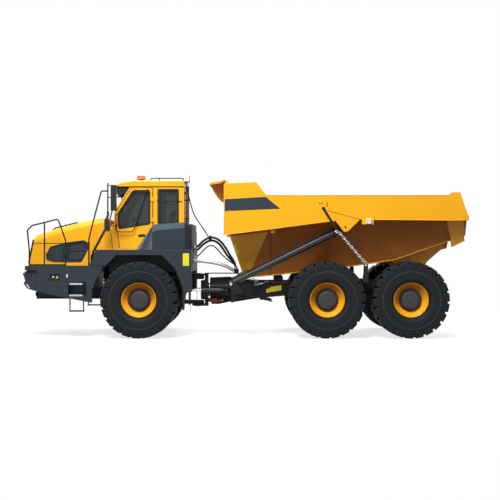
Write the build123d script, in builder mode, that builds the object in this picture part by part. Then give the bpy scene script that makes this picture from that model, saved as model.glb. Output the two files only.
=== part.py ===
# Six-wheeled articulated dump truck with a tipping body, at real size in millimetres.
# The front points to -X, the driver's door is on the -Y side, and the ground is z = 0.
# Outlines in the side view are lists of (x, z), outlines seen from above are (x, y).

from build123d import *
from math import atan2, cos, hypot, radians, sin, tan
import os

os.makedirs("parts", exist_ok=True)

# Driving dimensions of the whole machine
nose_x = -5070.0
tail_x = 5070.0
touch_gap = 0.3
running_fit = 0.05

# Wheels
tyre_radius = 870.0
tyre_width = 665.0
tyre_outer_y = 1495.0
tyre_bore = 395.0
rim_width = 500.0
rim_well_radius = 352.0
rim_dish_radius = 262.0
rim_dish_depth = 150.0
hub_radius = 205.0
hub_face_depth = 95.0
spindle_radius = 95.0
axle_x = {"front": -2385.0, "middle": 1865.0, "rear": 3755.0}
wheel_y = tyre_outer_y - tyre_width / 2
axle_z = tyre_radius

# Axles
axle_tube_radius = 118.0
differential_radius = 225.0
flange_radius = 185.0
flange_y = 905.0

# Steering and oscillation joint
steer_x = -1130.0
swing_z = 1050.0
steer_pin_radius = 60.0
lug_thickness = 80.0
lug_radius = 150.0
upper_lug_z = 1300.0
lower_lug_z = 715.0
hitch_plate = 46.0
hitch_web_front = -960.0
hitch_flange_x = -880.0
hitch_tube_radius = 115.0
hitch_tube_end = -350.0
housing_radius = 172.0
flange_plate_radius = 160.0
housing_front = -850.0

# Steering cylinders
steer_cylinder_y = 330.0
steer_base_x = -430.0
steer_eye_x = -1460.0
steer_barrel_radius = 50.0
steer_rod_radius = 30.0
steer_barrel_length = 600.0
steer_rod_length = 700.0
steer_eye_radius = 58.0
fork_gap = 8.0
fork_plate = 26.0

# Tipping cylinders
tip_cylinder_y = 1185.0
tip_base = (-310.0, 1233.0)
tip_eye = (2182.0, 2462.0)
tip_barrel_radius = 72.0
tip_rod_radius = 52.0
tip_barrel_length = 2640.0
tip_rod_length = 2440.0
tip_eye_radius = 76.0
tip_eye_width = 104.0
tip_pin_radius = 36.0

# Frames
rail_inner_y = 330.0
rail_outer_y = 450.0
front_rail_end = -1750.0
rear_frame_front = -330.0
rear_frame_top = 1269.0
rear_frame_end = 4260.0
rear_tow_bore = 25.0
rear_tow_z = (1130.0, 1170.0)

# Cab
cab_half_width = 800.0
cab_wall = 60.0
cab_rear_x = -1408.0
cab_front_x = -3030.0
cab_floor_z = 1700.0
cab_brow_z = 2909.0
cab_top_z = 3464.0
cab_top_x = -2660.0
cab_waist_z = 2470.0
roof_top_z = 3615.0
glass_thickness = 12.0

# Cab door
door_gap = 8.0
door_hinge_x = -2112.0
door_hinge_y = -812.0
knuckle_radius = 11.5
door_bottom_z = 2034.0
door_rear_x = -2128.0
door_foot_x = -2510.0

# Hood
hood_half_width = 800.0
hood_bottom_z = 1673.0
hood_wall = 40.0
hood_corner_radius = 150.0

# Outer front bodywork
deck_half_width = 1250.0
deck_top_z = 1637.0
deck_thickness = 100.0
skirt_wall = 60.0
fender_top_z = 2007.0
front_unit_rear_x = -1218.0
handrail_radius = 17.0

# Dump body
side_outer_y = 1420.0
side_wall = 60.0
hull_foot_y = 600.0
hull_foot_z = 1330.0
hull_flare = 0.40
hull_wall = 40.0
dump_pivot = (4000.0, 1450.0)
dump_pin_radius = 50.0


def side_face(outline, y):
    """A face in the plane of that y, from an outline of (x, z) points."""
    with BuildSketch(Plane.XZ.offset(-y)) as face:
        with BuildLine():
            Polyline(*outline, close=True)
        make_face()
    return face.sketch


def cross_face(outline, x):
    """A face in the plane of that x, from an outline of (y, z) points."""
    with BuildSketch(Plane.YZ.offset(x)) as face:
        with BuildLine():
            Polyline(*outline, close=True)
        make_face()
    return face.sketch


def plan_face(outline, z):
    """A face in the plane of that z, from an outline of (x, y) points."""
    with BuildSketch(Plane.XY.offset(z)) as face:
        with BuildLine():
            Polyline(*outline, close=True)
        make_face()
    return face.sketch


def plate(outline, y_low, y_high, mode=Mode.ADD):
    """Adds a plate with a side outline, between two values of y."""
    extrude(side_face(outline, y_high), amount=y_high - y_low, mode=mode)


def block(x_low, x_high, y_low, y_high, z_low, z_high, mode=Mode.ADD):
    """Adds a block between its lowest and highest corners."""
    with Locations(((x_low + x_high) / 2, (y_low + y_high) / 2, (z_low + z_high) / 2)):
        Box(x_high - x_low, y_high - y_low, z_high - z_low, mode=mode)


def bar(start, end, radius, mode=Mode.ADD):
    """Adds a round bar from one point to another."""
    run = Vector(*end) - Vector(*start)
    with BuildSketch(Plane(origin=start, z_dir=run)) as section:
        Circle(radius)
    extrude(section.sketch, amount=run.length, mode=mode)


def tube_rail(points, radius, bend):
    """Adds a bent rail of round tube along its corner points."""
    with BuildLine() as route:
        FilletPolyline(*points, radius=bend)
    with BuildSketch(Plane(origin=route.line @ 0, z_dir=route.line % 0)) as section:
        Circle(radius)
    sweep(section.sketch, path=route.line)


# Wheels: a tyre, and a rim with its planetary hub, on each axle end
tyre_inner_radius = tyre_bore + touch_gap
bead_half = 245.0
shoulder_radius = 820.0
shoulder_half = tyre_width / 2 - 34.0
bulge_radius = 640.0

tyre_section = [
    # (distance from the wheel's middle plane, radius)
    (-bead_half, tyre_inner_radius),
    (-tyre_width / 2, bulge_radius - 90.0),
    (-tyre_width / 2, bulge_radius + 70.0),
    (-shoulder_half, shoulder_radius),
    (-shoulder_half + 50.0, tyre_radius),
    (shoulder_half - 50.0, tyre_radius),
    (shoulder_half, shoulder_radius),
    (tyre_width / 2, bulge_radius + 70.0),
    (tyre_width / 2, bulge_radius - 90.0),
    (bead_half, tyre_inner_radius),
]


def hub_section(outward):
    """Half section of a rim with its hub, as (y from the wheel's middle, radius), outward 1 or -1."""
    dish_face = rim_width / 2 - rim_dish_depth
    hub_back = flange_y + touch_gap - wheel_y
    points = [
        (hub_back, spindle_radius + running_fit),
        (hub_back, hub_radius),
        (dish_face - 45.0, hub_radius),
        (dish_face - 45.0, rim_dish_radius),
        (dish_face - 95.0, rim_well_radius - 25.0),
        (-rim_width / 2 + 20.0, rim_well_radius - 25.0),
        (-rim_width / 2, tyre_bore - 18.0),
        (-rim_width / 2, tyre_bore),
        (rim_width / 2, tyre_bore),
        (rim_width / 2, tyre_bore - 18.0),
        (rim_width / 2 - 45.0, rim_well_radius),
        (dish_face, rim_dish_radius),
        (dish_face, hub_radius + 12.0),
        (dish_face + hub_face_depth - 20.0, hub_radius - 20.0),
        (dish_face + hub_face_depth, hub_radius - 60.0),
        (dish_face + hub_face_depth, 0.0),
        (dish_face + hub_face_depth - 60.0, 0.0),
        (dish_face + hub_face_depth - 60.0, spindle_radius + running_fit),
    ]
    return [(outward * y, radius) for y, radius in points]


wheel_table = [
    # (axle, side's name, side as -1 left or 1 right)
    (axle, side, sign)
    for axle in axle_x
    for side, sign in (("left", -1), ("right", 1))
]

for axle, side, sign in wheel_table:
    wheel_plane = Plane.XY.offset(axle_z)
    centre = (axle_x[axle], sign * wheel_y)
    axle_line = Axis((axle_x[axle], 0, axle_z), (0, 1, 0))

    with BuildPart() as tyre:
        with BuildSketch(wheel_plane):
            with BuildLine():
                Polyline(*[(centre[0] + r, centre[1] + y) for y, r in tyre_section], close=True)
            make_face()
        revolve(axis=axle_line)
    tyre.part.label = f"tyre_{axle}_{side}"
    export_step(tyre.part, f"parts/tyre_{axle}_{side}.step")

    with BuildPart() as rim:
        with BuildSketch(wheel_plane):
            with BuildLine():
                Polyline(*[(centre[0] + r, centre[1] + y) for y, r in hub_section(sign)], close=True)
            make_face()
        revolve(axis=axle_line)
    rim.part.label = f"rim_{axle}_{side}"
    export_step(rim.part, f"parts/rim_{axle}_{side}.step")


def axle_housing(x):
    """Adds an axle across the machine: differential, tubes, flanges and the wheels' spindles."""
    spindle_end = wheel_y + rim_width / 2 - rim_dish_depth + hub_face_depth - 60.0 - touch_gap
    section = [
        (0.0, 0.0),
        (0.0, differential_radius),
        (110.0, differential_radius - 15.0),
        (230.0, axle_tube_radius + 20.0),
        (300.0, axle_tube_radius),
        (flange_y - 60.0, axle_tube_radius),
        (flange_y - 30.0, flange_radius),
        (flange_y, flange_radius),
        (flange_y, spindle_radius),
        (spindle_end, spindle_radius),
        (spindle_end, 0.0),
    ]
    with BuildSketch(Plane.XY.offset(axle_z)) as half:
        with BuildLine():
            Polyline(*[(x + r, y) for y, r in section], close=True)
        make_face()
        mirror(about=Plane.XZ)
    revolve(half.sketch, axis=Axis((x, 0, axle_z), (0, 1, 0)))


# Front frame: two rails, cross members and the two lugs of the steering joint
front_rail_top = 1100.0
front_rail_bottom = 850.0
front_rail_front = -4900.0
cross_wall_x = front_rail_end - 40.0
upper_lug_top = upper_lug_z + lug_thickness
fork_half = steer_eye_radius - 8.0 + fork_gap

front_rail = [
    (front_rail_front, front_rail_bottom),
    (front_rail_front, front_rail_top),
    (axle_x["front"] - 500.0, front_rail_top),
    (axle_x["front"] - 250.0, front_rail_top + 90.0),
    (axle_x["front"] + 250.0, front_rail_top + 90.0),
    (cross_wall_x, upper_lug_top),
    (cross_wall_x, lower_lug_z),
    (axle_x["front"] + 350.0, lower_lug_z + 60.0),
    (axle_x["front"] + 220.0, axle_z + 150.0),
    (axle_x["front"] - 220.0, axle_z + 150.0),
    (axle_x["front"] - 400.0, front_rail_bottom),
]

with BuildPart() as front_frame:
    plate(front_rail, rail_inner_y, rail_outer_y)
    mirror(about=Plane.XZ)
    block(front_rail_front, front_rail_front + 120.0, -rail_inner_y, rail_inner_y,
          front_rail_bottom, front_rail_top)
    block(cross_wall_x, front_rail_end, -rail_outer_y, rail_outer_y, lower_lug_z, upper_lug_top)
    for z in (lower_lug_z, upper_lug_z):
        lug_outline = [
            (cross_wall_x, -rail_outer_y),
            (steer_x - 120.0, -lug_radius),
            (steer_x, -lug_radius),
            (steer_x, lug_radius),
            (steer_x - 120.0, lug_radius),
            (cross_wall_x, rail_outer_y),
        ]
        extrude(plan_face(lug_outline, z), amount=lug_thickness)
        with Locations((steer_x, 0, z + lug_thickness / 2)):
            Cylinder(lug_radius, lug_thickness)
            Cylinder(steer_pin_radius + running_fit, lug_thickness, mode=Mode.SUBTRACT)
    for side in (-1, 1):
        for z in (swing_z + fork_half, swing_z - fork_half - fork_plate):
            block(front_rail_end, steer_eye_x + steer_eye_radius + 25.0,
                  side * steer_cylinder_y - 75.0, side * steer_cylinder_y + 75.0, z, z + fork_plate)
        for z in (swing_z + fork_half + fork_plate, swing_z - fork_half - fork_plate - 14.0):
            with Locations((steer_eye_x, side * steer_cylinder_y, z + 7.0)):
                Cylinder(34.0, 14.0)
front_frame.part.label = "front_frame"
export_step(front_frame.part, "parts/front_frame.step")

# Front axle and its two struts, which stand on pads and end under the rails' brackets
strut_y = 560.0
strut_radius = 55.0
pad_top = axle_z + axle_tube_radius + 32.0
strut_top = front_rail_top + 60.0

with BuildPart() as front_axle:
    axle_housing(axle_x["front"])
    for side in (-1, 1):
        block(axle_x["front"] - 90.0, axle_x["front"] + 90.0, side * strut_y - 70.0,
              side * strut_y + 70.0, axle_z, pad_top)
front_axle.part.label = "front_axle"
export_step(front_axle.part, "parts/front_axle.step")

with BuildPart() as front_suspension:
    with Locations((axle_x["front"], strut_y, (pad_top + strut_top) / 2)):
        Cylinder(strut_radius, strut_top - pad_top)
    block(axle_x["front"] - 110.0, axle_x["front"] + 110.0, rail_outer_y, strut_y + 80.0,
          strut_top - 70.0, strut_top)
    mirror(about=Plane.XZ)
front_suspension.part.label = "front_suspension"
export_step(front_suspension.part, "parts/front_suspension.step")

# Engine block between the rails and the radiator that stands on their front ends
radiator_front = -4880.0
radiator_back = -4740.0

with BuildPart() as engine_block:
    block(-4560.0, -3460.0, -rail_inner_y, rail_inner_y, front_rail_bottom + 60.0, 1900.0)
engine_block.part.label = "engine_block"
export_step(engine_block.part, "parts/engine_block.step")

with BuildPart() as radiator:
    block(radiator_front, radiator_back, -560.0, 560.0, front_rail_top, 2080.0)
    with GridLocations(0, 34.0, 1, 28):
        with Locations((radiator_front, 0, 1600.0)):
            Box(16.0, 18.0, 800.0, mode=Mode.SUBTRACT)
radiator.part.label = "radiator"
export_step(radiator.part, "parts/radiator.step")

# Bumper: a hollow nose with a cut lower edge and the lamp recess above it
bumper_rear_x = -4715.0
bumper_half_width = 1200.0
bumper_profile = [
    (bumper_rear_x, deck_top_z - deck_thickness),
    (-4962.0, deck_top_z - deck_thickness),
    (nose_x, 1461.0),
    (-5040.0, 1393.0),
    (-5014.0, 1290.0),
    (-5042.0, 1251.0),
    (-4935.0, 1113.0),
    (-4814.0, 1079.0),
    (bumper_rear_x, 1057.0),
]
tow_eye_y = 400.0
tow_eye_x = -4920.0
tow_eye_z = 968.0
tow_bore_x = -4884.0
tow_eye_bore = 27.0

with BuildPart() as front_bumper:
    plate(bumper_profile, -bumper_half_width, bumper_half_width)
    outer_corners = front_bumper.edges().filter_by(GeomType.LINE).filter_by(
        lambda e: abs(abs(e.center().Y) - bumper_half_width) < 1.0
        and e.center().X < bumper_rear_x - 200.0
        and abs(e.position_at(0).Z - e.position_at(1).Z) > 30.0
    )
    chamfer(outer_corners, 60.0)
    block(front_rail_front - 20.0, bumper_rear_x, -bumper_half_width + skirt_wall,
          bumper_half_width - skirt_wall, 1000.0, 1480.0, mode=Mode.SUBTRACT)
    block(front_rail_front, bumper_rear_x, -600.0, 600.0, 1400.0, 1700.0, mode=Mode.SUBTRACT)
    for side in (-1, 1):
        block(front_rail_front - 20.0, front_rail_front, side * 390.0 - 50.0, side * 390.0 + 50.0,
              front_rail_bottom, 1250.0)
        plate(
            [
                (tow_eye_x - 10.0, tow_eye_z - 46.0),
                (tow_eye_x - 10.0, tow_eye_z + 46.0),
                (-4720.0, front_rail_bottom + 140.0),
                (-4560.0, front_rail_bottom + 140.0),
                (-4560.0, tow_eye_z - 60.0),
            ],
            side * (tow_eye_y + 70.0) - 20.0,
            side * (tow_eye_y + 70.0) + 20.0,
        )
    bar((tow_bore_x, -tow_eye_y - 100.0, tow_eye_z), (tow_bore_x, tow_eye_y + 100.0, tow_eye_z),
        tow_eye_bore, mode=Mode.SUBTRACT)
front_bumper.part.label = "front_bumper"
export_step(front_bumper.part, "parts/front_bumper.step")

# Side skirts, with the recesses for the side lamps and for the steps, on brackets from the rails
skirt_outline = [
    (bumper_rear_x, 1057.0),
    (-4319.0, 963.0),
    (-3969.0, 899.0),
    (-3470.0, 800.0),
    (-3460.0, 1106.0),
    (-3400.0, 1265.0),
    (-3275.0, 1480.0),
    (-3240.0, deck_top_z - deck_thickness),
    (bumper_rear_x, deck_top_z - deck_thickness),
]
step_recess = (-4007.0, -3592.0, 949.0, 1266.0)
lamp_recess = (-4434.0, -4197.0, 1298.0, 1457.0)

with BuildPart() as skirts:
    plate(skirt_outline, deck_half_width - skirt_wall, deck_half_width)
    for x_low, x_high, z_low, z_high in (step_recess, lamp_recess):
        block(x_low, x_high, deck_half_width - skirt_wall, deck_half_width, z_low, z_high,
              mode=Mode.SUBTRACT)
    for x in (-4500.0, -4100.0):
        block(x, x + 30.0, rail_outer_y, deck_half_width - skirt_wall, 1010.0, front_rail_top)
    mirror(about=Plane.XZ)
skirts.part.label = "skirts"
export_step(skirts.part, "parts/skirts.step")

# Walkway decks beside the hood
deck_front_x = -4990.0
deck_rear_x = -3240.0
hood_sill_end = -3600.0

with BuildPart() as walkways:
    block(deck_front_x, deck_rear_x, hood_half_width + 10.0, deck_half_width,
          deck_top_z - deck_thickness, deck_top_z)
    block(deck_front_x, hood_sill_end, hood_half_width - hood_wall, hood_half_width + 10.0,
          deck_top_z - deck_thickness, hood_bottom_z)
    mirror(about=Plane.XZ)
walkways.part.label = "walkways"
export_step(walkways.part, "parts/walkways.step")

# Fenders over the front wheels, with the cut-out arch
fender_outline = [
    (-3538.0, deck_top_z),
    (-3379.0, fender_top_z),
    (front_unit_rear_x, fender_top_z),
    (front_unit_rear_x, 1038.0),
    (-1416.0, 1038.0),
    (-1416.0, 1115.0),
    (-1479.0, 1324.0),
    (-1597.0, 1585.0),
    (-1897.0, 1884.0),
    (-2914.0, 1884.0),
    (-3158.0, deck_top_z),
]

with BuildPart() as fenders:
    plate(fender_outline, cab_half_width, deck_half_width)
    mirror(about=Plane.XZ)
fenders.part.label = "fenders"
export_step(fenders.part, "parts/fenders.step")

# Tank housings behind the cab's doors, with a cone in front that the opening door passes round
housing_half_width = 1150.0
housing_top_front = (-2060.0, 2588.0)
housing_top_rear = (-1376.0, 2632.0)
cone_foot_radius = 385.0
housing_corner = 150.0

with BuildPart() as tank_housings:
    plate(
        [
            (door_hinge_x, fender_top_z),
            (door_hinge_x, housing_top_front[1] - 20.0),
            housing_top_front,
            housing_top_rear,
            (-1276.0, 2560.0),
            (front_unit_rear_x, 2440.0),
            (front_unit_rear_x, fender_top_z),
        ],
        cab_half_width + 14.0,
        housing_half_width,
    )
    cone_height = housing_top_front[1] - 20.0 - fender_top_z
    with Locations((door_hinge_x, cab_half_width + 14.0, fender_top_z + cone_height / 2)):
        Cone(cone_foot_radius, 24.0, cone_height)
    block(door_hinge_x - 500.0, front_unit_rear_x, 0.0, cab_half_width + 14.0, 1900.0, 2700.0,
          mode=Mode.SUBTRACT)
    block(door_hinge_x, front_unit_rear_x, housing_half_width, 1500.0, 1900.0, 2700.0,
          mode=Mode.SUBTRACT)
    corner_outline = [
        (front_unit_rear_x - housing_corner, housing_half_width),
        (front_unit_rear_x, housing_half_width - housing_corner),
        (front_unit_rear_x, housing_half_width),
    ]
    extrude(plan_face(corner_outline, fender_top_z), amount=housing_top_rear[1] - fender_top_z,
            mode=Mode.SUBTRACT)
    mirror(about=Plane.XZ)
tank_housings.part.label = "tank_housings"
export_step(tank_housings.part, "parts/tank_housings.step")

# Rear bulkhead of the front unit, behind the cab, above the steering joint
bulkhead_front_x = -1300.0
bulkhead_low_z = 1500.0
bulkhead_top_z = 2600.0
bulkhead_shelf_z = 2560.0

with BuildPart() as rear_bulkhead:
    block(bulkhead_front_x, front_unit_rear_x, -cab_half_width, cab_half_width,
          bulkhead_low_z, bulkhead_top_z)
    block(cab_rear_x, bulkhead_front_x, -cab_half_width, cab_half_width, cab_floor_z, bulkhead_shelf_z)
rear_bulkhead.part.label = "rear_bulkhead"
export_step(rear_bulkhead.part, "parts/rear_bulkhead.step")

# Cab: a hollow shell, cut at the waist into a base and the window frame
cab_outline = [
    (cab_front_x + 118.0, cab_floor_z),
    (cab_front_x, 2540.0),
    (cab_front_x, cab_brow_z),
    (cab_top_x, cab_top_z),
    (cab_rear_x, cab_top_z),
    (cab_rear_x, cab_floor_z),
]
cab_inner_outline = [
    (cab_front_x + 118.0 + cab_wall, cab_floor_z + cab_wall),
    (cab_front_x + cab_wall, 2540.0),
    (cab_front_x + cab_wall, cab_brow_z - 18.0),
    (cab_top_x + 36.0, cab_top_z),
    (cab_rear_x - cab_wall, cab_top_z),
    (cab_rear_x - cab_wall, cab_floor_z + cab_wall),
]
door_outline = [
    (cab_front_x + 44.0, cab_brow_z - 14.0),
    (cab_top_x + 28.0, cab_top_z - 30.0),
    (door_rear_x, cab_top_z - 30.0),
    (door_rear_x, housing_top_front[1] - 6.0),
    (door_foot_x, door_bottom_z),
    (cab_front_x + 118.0, door_bottom_z),
    (cab_front_x + 44.0, 2560.0),
]
door_window = [
    (-2936.0, 2850.0),
    (-2600.0, 3372.0),
    (-2200.0, 3372.0),
    (-2200.0, 2600.0),
    (-2900.0, 2500.0),
    (-2936.0, 2560.0),
]
rear_side_window = [
    (-1998.0, 3400.0),
    (-1540.0, 3400.0),
    (-1540.0, 2640.0),
    (-1998.0, 2640.0),
]


def grown(outline, amount):
    """The outline's face in the side view, moved outward by that amount, as a face at y = 0."""
    return offset(side_face(outline, 0.0), amount=amount, kind=Kind.INTERSECTION, mode=Mode.PRIVATE)


def cab_shell():
    """Adds the whole hollow cab below its roof, with the openings for door and windows."""
    plate(cab_outline, -cab_half_width, cab_half_width)
    plate(cab_inner_outline, -cab_half_width + cab_wall, cab_half_width - cab_wall,
          mode=Mode.SUBTRACT)
    door_hole = grown(door_outline, door_gap).moved(Location((0, -cab_half_width + cab_wall, 0)))
    extrude(door_hole, amount=cab_wall, mode=Mode.SUBTRACT)
    plate(door_window, cab_half_width - cab_wall, cab_half_width, mode=Mode.SUBTRACT)
    plate(rear_side_window, -cab_half_width, cab_half_width, mode=Mode.SUBTRACT)
    block(cab_rear_x - cab_wall, cab_rear_x, -620.0, 620.0, 2680.0, 3360.0, mode=Mode.SUBTRACT)
    block(cab_front_x - 10.0, cab_top_x + 60.0, -cab_half_width + 90.0, cab_half_width - 90.0,
          2600.0, 3400.0, mode=Mode.SUBTRACT)


with BuildPart() as cab_base:
    cab_shell()
    split(bisect_by=Plane.XY.offset(cab_waist_z), keep=Keep.BOTTOM)
cab_base.part.label = "cab_base"
export_step(cab_base.part, "parts/cab_base.step")

with BuildPart() as cab_frame:
    cab_shell()
    split(bisect_by=Plane.XY.offset(cab_waist_z), keep=Keep.TOP)
cab_frame.part.label = "cab_frame"
export_step(cab_frame.part, "parts/cab_frame.step")

roof_outline = [
    (-3051.0, cab_top_z),
    (-3051.0, cab_top_z + 22.0),
    (-2837.0, 3575.0),
    (-2585.0, roof_top_z),
    (cab_rear_x, roof_top_z),
    (cab_rear_x, cab_top_z),
]
roof_overhang = 12.0

with BuildPart() as cab_roof:
    plate(roof_outline, -cab_half_width - roof_overhang, cab_half_width + roof_overhang)
    block(cab_top_x + 80.0, cab_rear_x - cab_wall, -cab_half_width + cab_wall,
          cab_half_width - cab_wall, cab_top_z, cab_top_z + 90.0, mode=Mode.SUBTRACT)
cab_roof.part.label = "cab_roof"
export_step(cab_roof.part, "parts/cab_roof.step")

with BuildPart() as cab_glass:
    plate(rear_side_window, cab_half_width - cab_wall / 2, cab_half_width - cab_wall / 2 + glass_thickness)
    plate(rear_side_window, -cab_half_width + cab_wall / 2 - glass_thickness, -cab_half_width + cab_wall / 2)
    plate(door_window, cab_half_width - cab_wall / 2, cab_half_width - cab_wall / 2 + glass_thickness)
    block(cab_rear_x - 36.0, cab_rear_x - 24.0, -620.0, 620.0, 2680.0, 3360.0)
    brow_slope = (cab_top_x - cab_front_x) / (cab_top_z - cab_brow_z)
    glass_top_z = 3400.0
    glass_top_x = cab_front_x + 20.0 + (glass_top_z - cab_brow_z) * brow_slope
    plate(
        [
            (cab_front_x + 20.0, 2600.0),
            (cab_front_x + 20.0, cab_brow_z - 6.0),
            (glass_top_x, glass_top_z),
            (glass_top_x + glass_thickness + 4.0, glass_top_z),
            (cab_front_x + 20.0 + glass_thickness, cab_brow_z - 10.0),
            (cab_front_x + 20.0 + glass_thickness, 2600.0),
        ],
        -cab_half_width + 90.0,
        cab_half_width - 90.0,
    )
cab_glass.part.label = "cab_glass"
export_step(cab_glass.part, "parts/cab_glass.step")

with BuildPart() as cab_door:
    plate(door_outline, -cab_half_width, -cab_half_width + cab_wall)
    plate(door_window, -cab_half_width, -cab_half_width + cab_wall, mode=Mode.SUBTRACT)
    for z in (2700.0, 3180.0):
        block(door_rear_x - 60.0, door_hinge_x, -cab_half_width - 20.0, -cab_half_width - 4.0,
              z - 45.0, z + 45.0)
        block(door_rear_x - 60.0, door_rear_x - 8.0, -cab_half_width - 20.0, -cab_half_width,
              z - 45.0, z + 45.0)
        with Locations((door_hinge_x, door_hinge_y, z)):
            Cylinder(knuckle_radius, 110.0)
cab_door.part.label = "cab_door"
export_step(cab_door.part, "parts/cab_door.step")

with BuildPart() as door_glass:
    plate(door_window, -cab_half_width + 24.0, -cab_half_width + 24.0 + glass_thickness)
door_glass.part.label = "door_glass"
export_step(door_glass.part, "parts/door_glass.step")

# Inside the cab: the driver's seat and the steering console
seat_x = -2050.0
cab_deck_z = cab_floor_z + cab_wall

with BuildPart() as seat:
    block(seat_x - 170.0, seat_x + 170.0, -180.0, 180.0, cab_deck_z, 2250.0)
    plate(
        [
            (seat_x - 270.0, 2250.0),
            (seat_x - 285.0, 2370.0),
            (seat_x + 170.0, 2350.0),
            (seat_x + 290.0, 2980.0),
            (seat_x + 390.0, 2970.0),
            (seat_x + 270.0, 2250.0),
        ],
        -250.0,
        250.0,
    )
seat.part.label = "seat"
export_step(seat.part, "parts/seat.step")

wheel_centre = (-2560.0, 0.0, 2640.0)

with BuildPart() as steering_console:
    plate(
        [
            (cab_front_x + 200.0, cab_deck_z),
            (cab_front_x + 100.0, 2440.0),
            (cab_front_x + 90.0, 2560.0),
            (-2800.0, 2600.0),
            (-2740.0, 2480.0),
            (-2760.0, cab_deck_z),
        ],
        -520.0,
        520.0,
    )
    bar((-2800.0, 0.0, 2300.0), wheel_centre, 32.0)
    column = Vector(*wheel_centre) - Vector(-2800.0, 0.0, 2300.0)
    with BuildPart(Plane(origin=wheel_centre, z_dir=column), mode=Mode.PRIVATE) as ring:
        Torus(200.0, 16.0)
        Box(400.0, 30.0, 16.0)
    add(ring.part)
steering_console.part.label = "steering_console"
export_step(steering_console.part, "parts/steering_console.step")

# Hood: a shell with rounded shoulders, open below and behind
hood_profile = [
    (-5028.0, hood_bottom_z),
    (-4914.0, 2215.0),
    (-4857.0, 2342.0),
    (-4426.0, 2485.0),
    (-3948.0, 2616.0),
    (-3494.0, 2712.0),
    (-3278.0, 2750.0),
    (-3195.0, 2557.0),
    (-3578.0, hood_bottom_z + 188.0),
    (-3578.0, hood_bottom_z),
]
hood_inner_profile = [
    (-5028.0 + 52.0, hood_bottom_z - 1.0),
    (-4914.0 + 44.0, 2215.0 - 10.0),
    (-4857.0 + 26.0, 2342.0 - 30.0),
    (-4426.0 + 12.0, 2485.0 - hood_wall),
    (-3948.0 + 8.0, 2616.0 - hood_wall),
    (-3494.0 + 8.0, 2712.0 - hood_wall),
    (-3100.0, 2745.0),
    (-3100.0, 2557.0),
    (-3500.0, hood_bottom_z + 188.0),
    (-3500.0, hood_bottom_z - 1.0),
]
vent_outline = [
    (-4515.0, 2079.0),
    (-4158.0, 2176.0),
    (-3733.0, 2232.0),
    (-3619.0, 2160.0),
    (-3619.0, 2046.0),
    (-3780.0, 1715.0),
    (-4417.0, 1715.0),
    (-4612.0, 1770.0),
    (-4612.0, 1900.0),
]
vent_corner_radius = 38.0
grille_half_width = 560.0
grille_low_z = 1740.0
grille_high_z = 2160.0


def hood_form(profile, half_width, corner_radius, mode):
    """Adds or cuts the hood's form: its side profile across the width, with round top edges."""
    with BuildPart(mode=Mode.PRIVATE) as form:
        plate(profile, -half_width, half_width)
        long_edges = form.edges().filter_by(
            lambda e: abs(abs(e.center().Y) - half_width) < 1.0
            and e.center().Z > 2260.0
            and abs(e.position_at(0).X - e.position_at(1).X) > 200.0
        )
        fillet(long_edges, corner_radius)
    add(form.part, mode=mode)


def vent_face(y):
    """The rounded outline of the side air intake, in the plane of that y."""
    with BuildSketch(Plane.XZ.offset(-y)) as face:
        with BuildLine():
            Polyline(*vent_outline, close=True)
        make_face()
        fillet(face.vertices(), vent_corner_radius)
    return face.sketch


with BuildPart() as hood_shell:
    hood_form(hood_profile, hood_half_width, hood_corner_radius, Mode.ADD)
    hood_form(hood_inner_profile, hood_half_width - hood_wall, hood_corner_radius - hood_wall,
              Mode.SUBTRACT)
    extrude(vent_face(hood_half_width), amount=hood_wall, mode=Mode.SUBTRACT)
    extrude(vent_face(-hood_half_width + hood_wall), amount=hood_wall, mode=Mode.SUBTRACT)
    block(nose_x, -4840.0, -grille_half_width, grille_half_width, grille_low_z, grille_high_z,
          mode=Mode.SUBTRACT)
hood_shell.part.label = "hood_shell"
export_step(hood_shell.part, "parts/hood_shell.step")

# Hood grilles: the slatted front grille and the louvred side intakes
hood_front_slope = (-4914.0 + 5028.0) / (2215.0 - hood_bottom_z)
slat_count = 9


def hood_front_x(z):
    """The hood's front face at that height."""
    return -5028.0 + (z - hood_bottom_z) * hood_front_slope


with BuildPart() as hood_grilles:
    slat_pitch = (grille_high_z - grille_low_z) / slat_count
    for number in range(slat_count):
        low = grille_low_z + number * slat_pitch
        front = hood_front_x(low) + 8.0
        plate(
            [(front, low), (front, low + 22.0), (front + 46.0, low + 34.0), (front + 46.0, low)],
            -grille_half_width,
            grille_half_width,
        )
    for y in (-grille_half_width, -14.0, grille_half_width - 28.0):
        plate(
            [
                (hood_front_x(grille_low_z) + 30.0, grille_low_z),
                (hood_front_x(grille_high_z) + 30.0, grille_high_z),
                (hood_front_x(grille_high_z) + 54.0, grille_high_z),
                (hood_front_x(grille_low_z) + 54.0, grille_low_z),
            ],
            y,
            y + 28.0,
        )
    for side in (-1, 1):
        inner = side * (hood_half_width - hood_wall / 2)
        extrude(vent_face(inner + 10.0), amount=20.0)
        for x in (-3960.0, -3780.0):
            slot = [(x - 60.0, 1800.0), (x + 20.0, 1800.0), (x + 60.0, 2120.0), (x - 20.0, 2120.0)]
            plate(slot, inner - 10.0, inner + 10.0, mode=Mode.SUBTRACT)
hood_grilles.part.label = "hood_grilles"
export_step(hood_grilles.part, "parts/hood_grilles.step")

# Handrails on both walkways, and the tall grab rail that ends at each mirror's bar
rail_y = 1200.0
grab_rail_y = 1110.0
grab_rail_end_x = -3128.0 - 16.0 - touch_gap

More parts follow.
